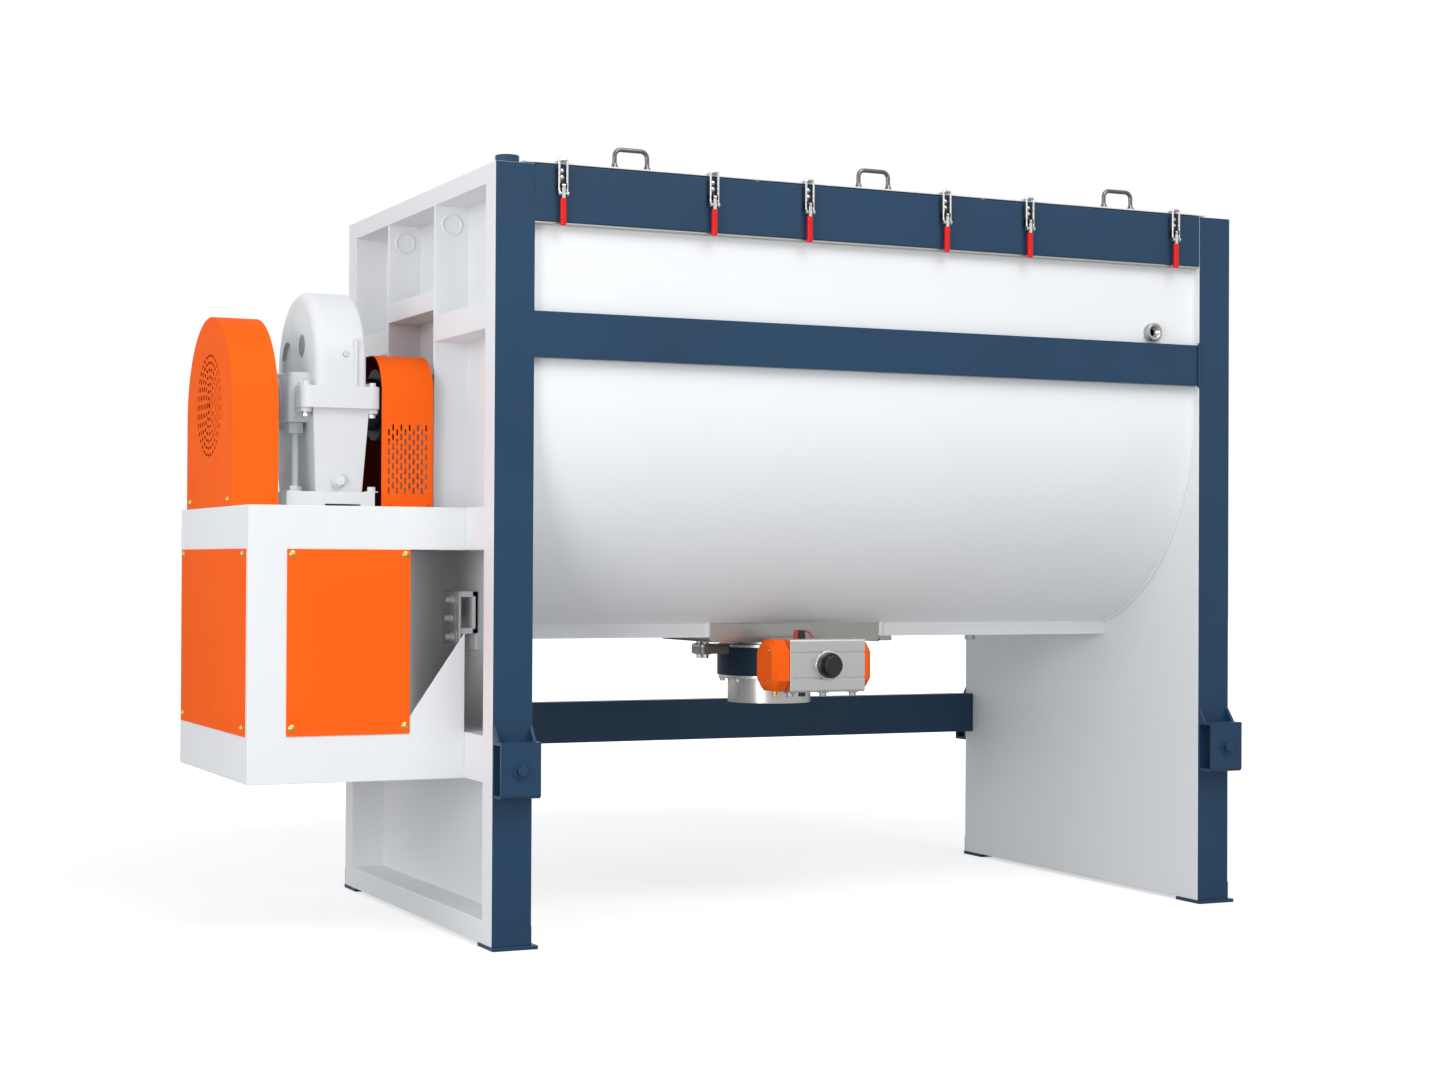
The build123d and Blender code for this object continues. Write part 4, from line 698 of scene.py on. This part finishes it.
stud_head = tie_head + Vector((0, 0.05, 0))
add_rod(reducer_bolts, stud_head - Vector((0, 0, 0.024)), stud_head, 0.017)
print("reducer bolted, foot top at", round(FOOT_TOP, 3))

# %% [markdown]
# The column has a hexagon drain plug low on its front, and a cast rib runs up the front of the
# cover. Two bolt ends under the flange, the level plug and the ring round the input shaft are
# bare metal, so they make a second piece.

# %% Plugs, rib and bare metal of the reducer
DRAIN_X, DRAIN_Z = -1.129, 1.198
COLUMN_FRONT = -0.188
DRAIN_START, DRAIN_END = -0.190, -0.206
RIB_X = (-1.092, -1.084)
RIB_Y = (-0.2125, -0.196)
RIB_TOP = 1.575
LEVEL_PLUG_SEAT = (-1.1146, -0.2005, 1.534)
LEVEL_PLUG_OUTWARD = (0, -1, 0.13)
plug = Vector((DRAIN_X, COLUMN_FRONT, DRAIN_Z))
add_rod(reducer_bolts, plug, plug - Vector((0, 0.008, 0)), 0.019, edge=0.002)
drain_start = (DRAIN_X, DRAIN_START, DRAIN_Z)
add_rod(reducer_bolts, drain_start, (DRAIN_X, DRAIN_END, DRAIN_Z), 0.0155, sides=6, edge=0.002)
add_block(reducer_bolts, (RIB_X[0], RIB_Y[0], FLANGE_TOP), (RIB_X[1], RIB_Y[1], RIB_TOP), 0.003)
make_piece("reducer_bolts", reducer_bolts, [gear_paint], "root")

reducer_metal = bmesh.new()
for x in reversed(FLANGE_BOLTS_X):
    add_bolt(reducer_metal, (x, FLANGE_BOLTS_Y[0], LUG_UNDER), (0, 0, -1), FLANGE_BOLT)
level_plug = [(0, 0), (0, 0.009), (0.006, 0.008), (0.006, 0)]
add_turned(reducer_metal, LEVEL_PLUG_SEAT, LEVEL_PLUG_OUTWARD, level_plug)
ring = [(0.0, 0.040), (0.0, 0.072), (0.006, 0.070), (0.008, 0.066), (0.008, 0.040), (0.0, 0.040)]
add_turned(reducer_metal, (cover_low.x, 0, SHAFT_Z), (-1, 0, 0), ring)
make_piece("reducer_metal", reducer_metal, [zinc], "root")
print("reducer dressed")

# %% [markdown]
# ## Frame
#
# The posts stand in low shoes, the folded brackets have a plain hexagon bolt, the jacket is
# welded to the end plates all round, and a narrow ledge closes the gap under the top beam. A
# bead could be a bevelled curve. A small ring that is spun round the jacket's axis is a mesh at
# once and follows the jacket exactly.

# %% Shoes, bracket bolts, ledge and weld beads
left_low, left_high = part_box("end_frame_left")
right_low, right_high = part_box("end_frame_right")
jacket_low, jacket_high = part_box("jacket_shell")
beam_low, beam_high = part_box("front_top_beam")
middle_low, middle_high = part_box("front_middle_beam")
bracket_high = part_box("post_brackets")[1]
JACKET_RADIUS = jacket_high.y
KEEL_HALF_WIDTH = 0.175
SHOE_HEIGHT = 0.050
SHOE_PROUD = 0.0025
BRACKET_BOLT_Z = 0.459
BRACKET_BOLT = 0.024
COLLAR = 0.006
LEDGE_INSET, LEDGE_HEIGHT = 0.004, 0.006
POSTS = ((left_low.x, left_high.x), (right_low.x, right_high.x))

frame_blue = bmesh.new()
for start, end in POSTS:
    middle = (start + end) / 2
    for side in (-1, 1):
        near = side * left_high.y
        far = near + side * SHOE_PROUD
        add_block(frame_blue, (start, min(near, far), left_low.z),
                  (end, max(near, far), left_low.z + SHOE_HEIGHT), 0.0011)
        add_bolt(frame_blue, (middle, side * bracket_high.y, BRACKET_BOLT_Z), (0, side, 0), BRACKET_BOLT)
add_block(frame_blue, (middle_high.x - COLLAR, middle_low.y - COLLAR, middle_low.z - COLLAR),
          (middle_high.x, middle_low.y, middle_high.z + COLLAR), 0.0015)
make_piece("frame_blue_fittings", frame_blue, [navy_paint], "root")

ledge = bmesh.new()
ledge_front = beam_low.y + LEDGE_INSET
ledge_under = beam_low.z - LEDGE_HEIGHT
for near, far in ((ledge_front, -JACKET_RADIUS), (JACKET_RADIUS, -ledge_front)):
    add_block(ledge, (beam_low.x, near, ledge_under), (beam_high.x, far, beam_low.z), 0.001)
make_piece("beam_ledges", ledge, [ledge_steel], "root")

BEAD_RADIUS = 0.005
BEAD_INSET = 0.002
BEAD_SWEEP = pi / 2 - asin(KEEL_HALF_WIDTH / JACKET_RADIUS)
beads = bmesh.new()
for x in (jacket_low.x + BEAD_INSET, jacket_high.x - BEAD_INSET):
    for side in (-1, 1):
        start = (x, side * JACKET_RADIUS, SHAFT_Z)
        add_bend(beads, start, (x, 0, SHAFT_Z), (1, 0, 0), -side * BEAD_SWEEP, BEAD_RADIUS, 8, 40)
        for low, high in ((SHAFT_Z, middle_low.z), (middle_high.z, beam_low.z)):
            y = side * JACKET_RADIUS
            add_rod(beads, (x, y, low), (x, y, high), BEAD_RADIUS, sides=8)
make_piece("jacket_welds", beads, [white_paint], "root")
print("frame dressed")

# %% [markdown]
# The half coupling on the jacket is turned bar with a chamfered mouth and a pipe thread inside.
# The thread is drawn as rings, which is all that shows of it, so a profile and one spin make
# the whole coupling. The drain plug is a hexagon.

# %% Jacket fittings
PORT_X, PORT_Z = 1.1595, 1.658
PORT_LENGTH = 0.022
PORT_RADIUS = 0.026
PORT_CHAMFER = 0.002
THREAD_CREST, THREAD_ROOT = 0.0154, 0.0166
THREAD_TURNS = 8
fittings = bmesh.new()
thread_end = PORT_LENGTH - PORT_CHAMFER
mouth = [(0.0, THREAD_ROOT), (0.0, PORT_RADIUS), (thread_end, PORT_RADIUS)]
mouth += [(PORT_LENGTH, PORT_RADIUS - PORT_CHAMFER)]
mouth += [(PORT_LENGTH, THREAD_ROOT + PORT_CHAMFER), (thread_end, THREAD_ROOT)]
thread_step = thread_end / (2 * THREAD_TURNS)
for ring in range(1, 2 * THREAD_TURNS + 1):
    mouth.append((thread_end - ring * thread_step, THREAD_CREST if ring % 2 else THREAD_ROOT))
add_turned(fittings, (PORT_X, -JACKET_RADIUS, PORT_Z), (0, -1, 0), mouth, steps=48)
PLUG_X = 0.9325
drain = Vector((PLUG_X, 0, jacket_low.z))
drain_face = drain - Vector((0, 0, 0.004))
add_rod(fittings, drain_face, drain, 0.018)
add_rod(fittings, drain - Vector((0, 0, 0.020)), drain_face, 0.0162, sides=6, edge=0.0015)
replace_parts(make_piece("jacket_fittings_turned", fittings, [zinc], "root"), "jacket_fittings")
print("fittings turned")

# %% [markdown]
# ## Discharge valve
#
# Bolts go through the ears of the outlet flange and the valve, a ring of them holds the spout,
# and three are under the actuator. Each actuator cap has four small screws. They are all
# zinc-plated, so one piece holds them.

# %% Bolts of the valve
pan_low, pan_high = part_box("outlet_pan")
valve_low, valve_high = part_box("valve_body")
spout_low, spout_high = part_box("valve_spout")
actuator_low, actuator_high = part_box("actuator_body")
caps_low, caps_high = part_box("actuator_caps")
VALVE_X = (spout_low.x + spout_high.x) / 2
VALVE_Z = (valve_low.z + valve_high.z) / 2
EAR_REACH = 0.218
EAR_BOLTS_Y = (-0.02, 0.02)
EAR_BOLT = 0.017
EAR_THICKNESS = 0.018
PIPE_FLANGE = 0.010
SPOUT_BOLTS = 8
SPOUT_BOLT_CIRCLE = 0.139
ACTUATOR_BOLTS_X = (0.132, 0.236, 0.331)
ACTUATOR_BOLT_INSET = 0.024
CAP_SCREW_Y, CAP_SCREW_Z = 0.032, 0.042
valve_bolts = bmesh.new()
for side in (-1, 1):
    for y in EAR_BOLTS_Y:
        ear_x = VALVE_X + side * EAR_REACH
        add_bolt(valve_bolts, (ear_x, y, valve_high.z + PIPE_FLANGE), (0, 0, 1), EAR_BOLT)
        add_bolt(valve_bolts, (ear_x, y, valve_high.z - EAR_THICKNESS), (0, 0, -1), EAR_BOLT)
for step in range(SPOUT_BOLTS):
    turn = tau * (step + 0.5) / SPOUT_BOLTS
    reach = SPOUT_BOLT_CIRCLE * Vector((cos(turn), sin(turn)))
    add_bolt(valve_bolts, (VALVE_X + reach.x, reach.y, valve_low.z - PIPE_FLANGE), (0, 0, -1), 0.013)
for x in ACTUATOR_BOLTS_X:
    seat = (x, actuator_low.y + ACTUATOR_BOLT_INSET, actuator_low.z)
    add_bolt(valve_bolts, seat, (0, 0, -1), EAR_BOLT)
cap_y = (actuator_low.y + actuator_high.y) / 2
for y in (cap_y - CAP_SCREW_Y, cap_y + CAP_SCREW_Y):
    for z in (VALVE_Z - CAP_SCREW_Z, VALVE_Z + CAP_SCREW_Z):
        for x, outward in ((caps_low.x, -1), (caps_high.x, 1)):
            add_rod(valve_bolts, (x, y, z), (x + outward * 0.003, y, z), 0.004)
CLIP_X = 0.548
CLIP_Y = (-0.12, -0.08)
add_block(valve_bolts, (CLIP_X, CLIP_Y[0], 0.756), (CLIP_X + 0.042, CLIP_Y[1], jacket_low.z), 0.002)
make_piece("valve_bolts", valve_bolts, [zinc], "root")
print("valve bolted at", round(VALVE_X, 4), round(VALVE_Z, 4))

# %% [markdown]
# The pan has a bright folded lip along its top, and the white jacket is rounded where it was
# cut to let the pan in. A turned bright ring sits round the actuator's knob.

# %% Lip of the pan, cut ends of the jacket and ring of the knob
LIP_LOW, LIP_HIGH = 0.811, 0.817
LIP_PROUD = 0.004
lip = bmesh.new()
add_block(lip, (pan_low.x, pan_low.y - LIP_PROUD, LIP_LOW), (pan_high.x, pan_low.y, LIP_HIGH), 0.0012)
make_piece("pan_lip", lip, [polished], "root")

CUT_GAP = 0.006
cut_y = pan_low.y + 0.004
ends = bmesh.new()
for x in (pan_low.x - CUT_GAP, pan_high.x + CUT_GAP):
    add_rod(ends, (x, cut_y, jacket_low.z), (x, cut_y, LIP_HIGH), 0.009, edge=0.003)
make_piece("jacket_cut_ends", ends, [jacket_lit_white], "root")

knob_ring = bmesh.new()
ring = [(0.0, 0.0366), (0.0, 0.0420), (0.0030, 0.0420), (0.0040, 0.0410), (0.0040, 0.0366), (0.0, 0.0366)]
add_turned(knob_ring, (VALVE_X, actuator_low.y, VALVE_Z), (0, -1, 0), ring, steps=48)
make_piece("knob_ring", knob_ring, [aluminium], "root")
print("lip from", round(pan_low.x, 3), "to", round(pan_high.x, 3))

# %% [markdown]
# On top of the actuator a black connector with a red cheek has one short red lead, which bends
# down into the body. A black plug and a brass air fitting are below. The lead is held at both
# ends, so it is a rigid piece: a quarter turn of a circle, made by a spin.

# %% Connector, lead and air fitting of the actuator
dark_bits = bmesh.new()
add_block(dark_bits, (CLIP_X - 0.026, CLIP_Y[0], 0.754), (CLIP_X - 0.001, CLIP_Y[1], jacket_low.z), 0.002)
add_block(dark_bits, (0.163, -0.362, actuator_low.z - 0.012), (0.178, -0.345, actuator_low.z), 0.001)
add_block(dark_bits, (0.156, -0.36, actuator_high.z), (0.178, -0.335, actuator_high.z + 0.024), 0.002)
make_piece("actuator_black_bits", dark_bits, [black_plastic], "root")

LEAD_BEND = 0.020
LEAD_RADIUS = 0.0028
lead_foot = Vector((0.205, -0.3475, actuator_high.z))
lead_centre = lead_foot - Vector((LEAD_BEND, 0.0, 0.0))
lead_top = lead_centre + Vector((0.0, 0.0, LEAD_BEND))
terminal = bmesh.new()
add_block(terminal, (0.150, -0.356, actuator_high.z), (0.157, -0.339, actuator_high.z + 0.022), 0.001)
add_bend(terminal, lead_foot, lead_centre, (0, 1, 0), -pi / 2, LEAD_RADIUS)
add_rod(terminal, lead_top, lead_top - Vector((0.010, 0.0, 0.0)), LEAD_RADIUS)
make_piece("actuator_terminal", terminal, [red_plastic], "root")

air_seat = Vector((0.096, -0.332, caps_low.z))
air_nose = air_seat - Vector((0, 0, 0.010))
fitting = bmesh.new()
add_rod(fitting, air_seat, air_nose, 0.008, sides=6, edge=0.0008)
add_rod(fitting, air_nose, air_nose - Vector((0, 0, 0.008)), 0.005)
make_piece("air_fitting", fitting, [brass], "root")
print("valve dressed")

# %% [markdown]
# ## Belt tension bracket
#
# In the open bay beside the drive box a white bracket stands on the end plate. It is an open
# box with a flange, and three studs with their nuts come through the flange. It is welded from
# flat bar, so plain blocks with broken edges build it in the way that a fitter would.

# %% Bracket in the bay
PLATE_X = left_high.x - 0.010
FLANGE_X = PLATE_X - 0.048
FLANGE_FACE = FLANGE_X - 0.008
BRACKET_Y = (-0.265, -0.247)
BRACKET_TOP = 0.905
WINDOW_FOOT = 0.790
BAR = 0.016
bracket = bmesh.new()
add_block(bracket, (PLATE_X - 0.010, BRACKET_Y[0], 0.745), (PLATE_X, -0.030, BRACKET_TOP), 0.002)
add_block(bracket, (FLANGE_FACE, BRACKET_Y[0], 0.758), (FLANGE_X, -0.125, BRACKET_TOP), 0.003)
for low, high in ((WINDOW_FOOT, WINDOW_FOOT + BAR), (BRACKET_TOP - BAR, BRACKET_TOP)):
    add_block(bracket, (FLANGE_X, BRACKET_Y[0], low), (PLATE_X, BRACKET_Y[1], high), 0.002)
add_block(bracket, (PLATE_X - 0.018, BRACKET_Y[0], WINDOW_FOOT), (PLATE_X, BRACKET_Y[1], BRACKET_TOP), 0.002)
for y, z in ((-0.238, 0.882), (-0.228, 0.832), (-0.238, 0.782)):
    add_bolt(bracket, (FLANGE_FACE, y, z), (-1, 0, 0), 0.020)
    add_rod(bracket, (FLANGE_FACE, y, z), (FLANGE_FACE - 0.030, y, z), 0.0075, edge=0.0015)
boss = Vector((PLATE_X - 0.010, -0.090, 0.862))
add_rod(bracket, boss - Vector((0.030, 0, 0)), boss, 0.032, edge=0.003)
make_piece("tension_bracket", bracket, [gear_paint], "root")
print("bay dressed")

# %% [markdown]
# ## Lids
#
# The bow handles flare at their feet and are screwed down through their plates, and each clamp
# base is held by two small screws. The feet ride on their own lid, so they swing with it. They
# are turned like the screws, which is how such feet are really made.

# %% Handle feet and clamp screws
HANDLE_PLATE = 0.003
LEG_REACH, SCREW_REACH = 0.046, 0.0615
CLAMP_FACE = -0.659
CLAMP_SCREWS_Z = (1.985, 1.968)
TINY_SCREW_RADIUS = 0.003
for lid in (1, 2, 3):
    low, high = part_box(f"lid_handle_{lid}")
    middle = (low + high) / 2
    plate_top = low.z + HANDLE_PLATE
    feet = bmesh.new()
    for side in (-1, 1):
        flare = [(0.0, 0.0), (0.0, 0.0110), (0.003, 0.0105), (0.008, 0.0075), (0.013, 0.0062), (0.013, 0.0)]
        add_turned(feet, (middle.x + side * LEG_REACH, middle.y, plate_top), (0, 0, 1), flare)
        screw_x = middle.x + side * SCREW_REACH
        add_screw(feet, (screw_x, middle.y, plate_top), (0, 0, 1), TINY_SCREW_RADIUS)
    make_piece(f"handle_feet_{lid}", feet, [handle_steel], f"lid_{lid}")

base_screws = bmesh.new()
for clamp in range(1, 7):
    low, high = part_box(f"clamp_lever_{clamp}")
    for z in CLAMP_SCREWS_Z:
        add_screw(base_screws, ((low.x + high.x) / 2, CLAMP_FACE, z), (0, -1, 0), TINY_SCREW_RADIUS)
make_piece("clamp_screws", base_screws, [polished], "root")
print("lids dressed")
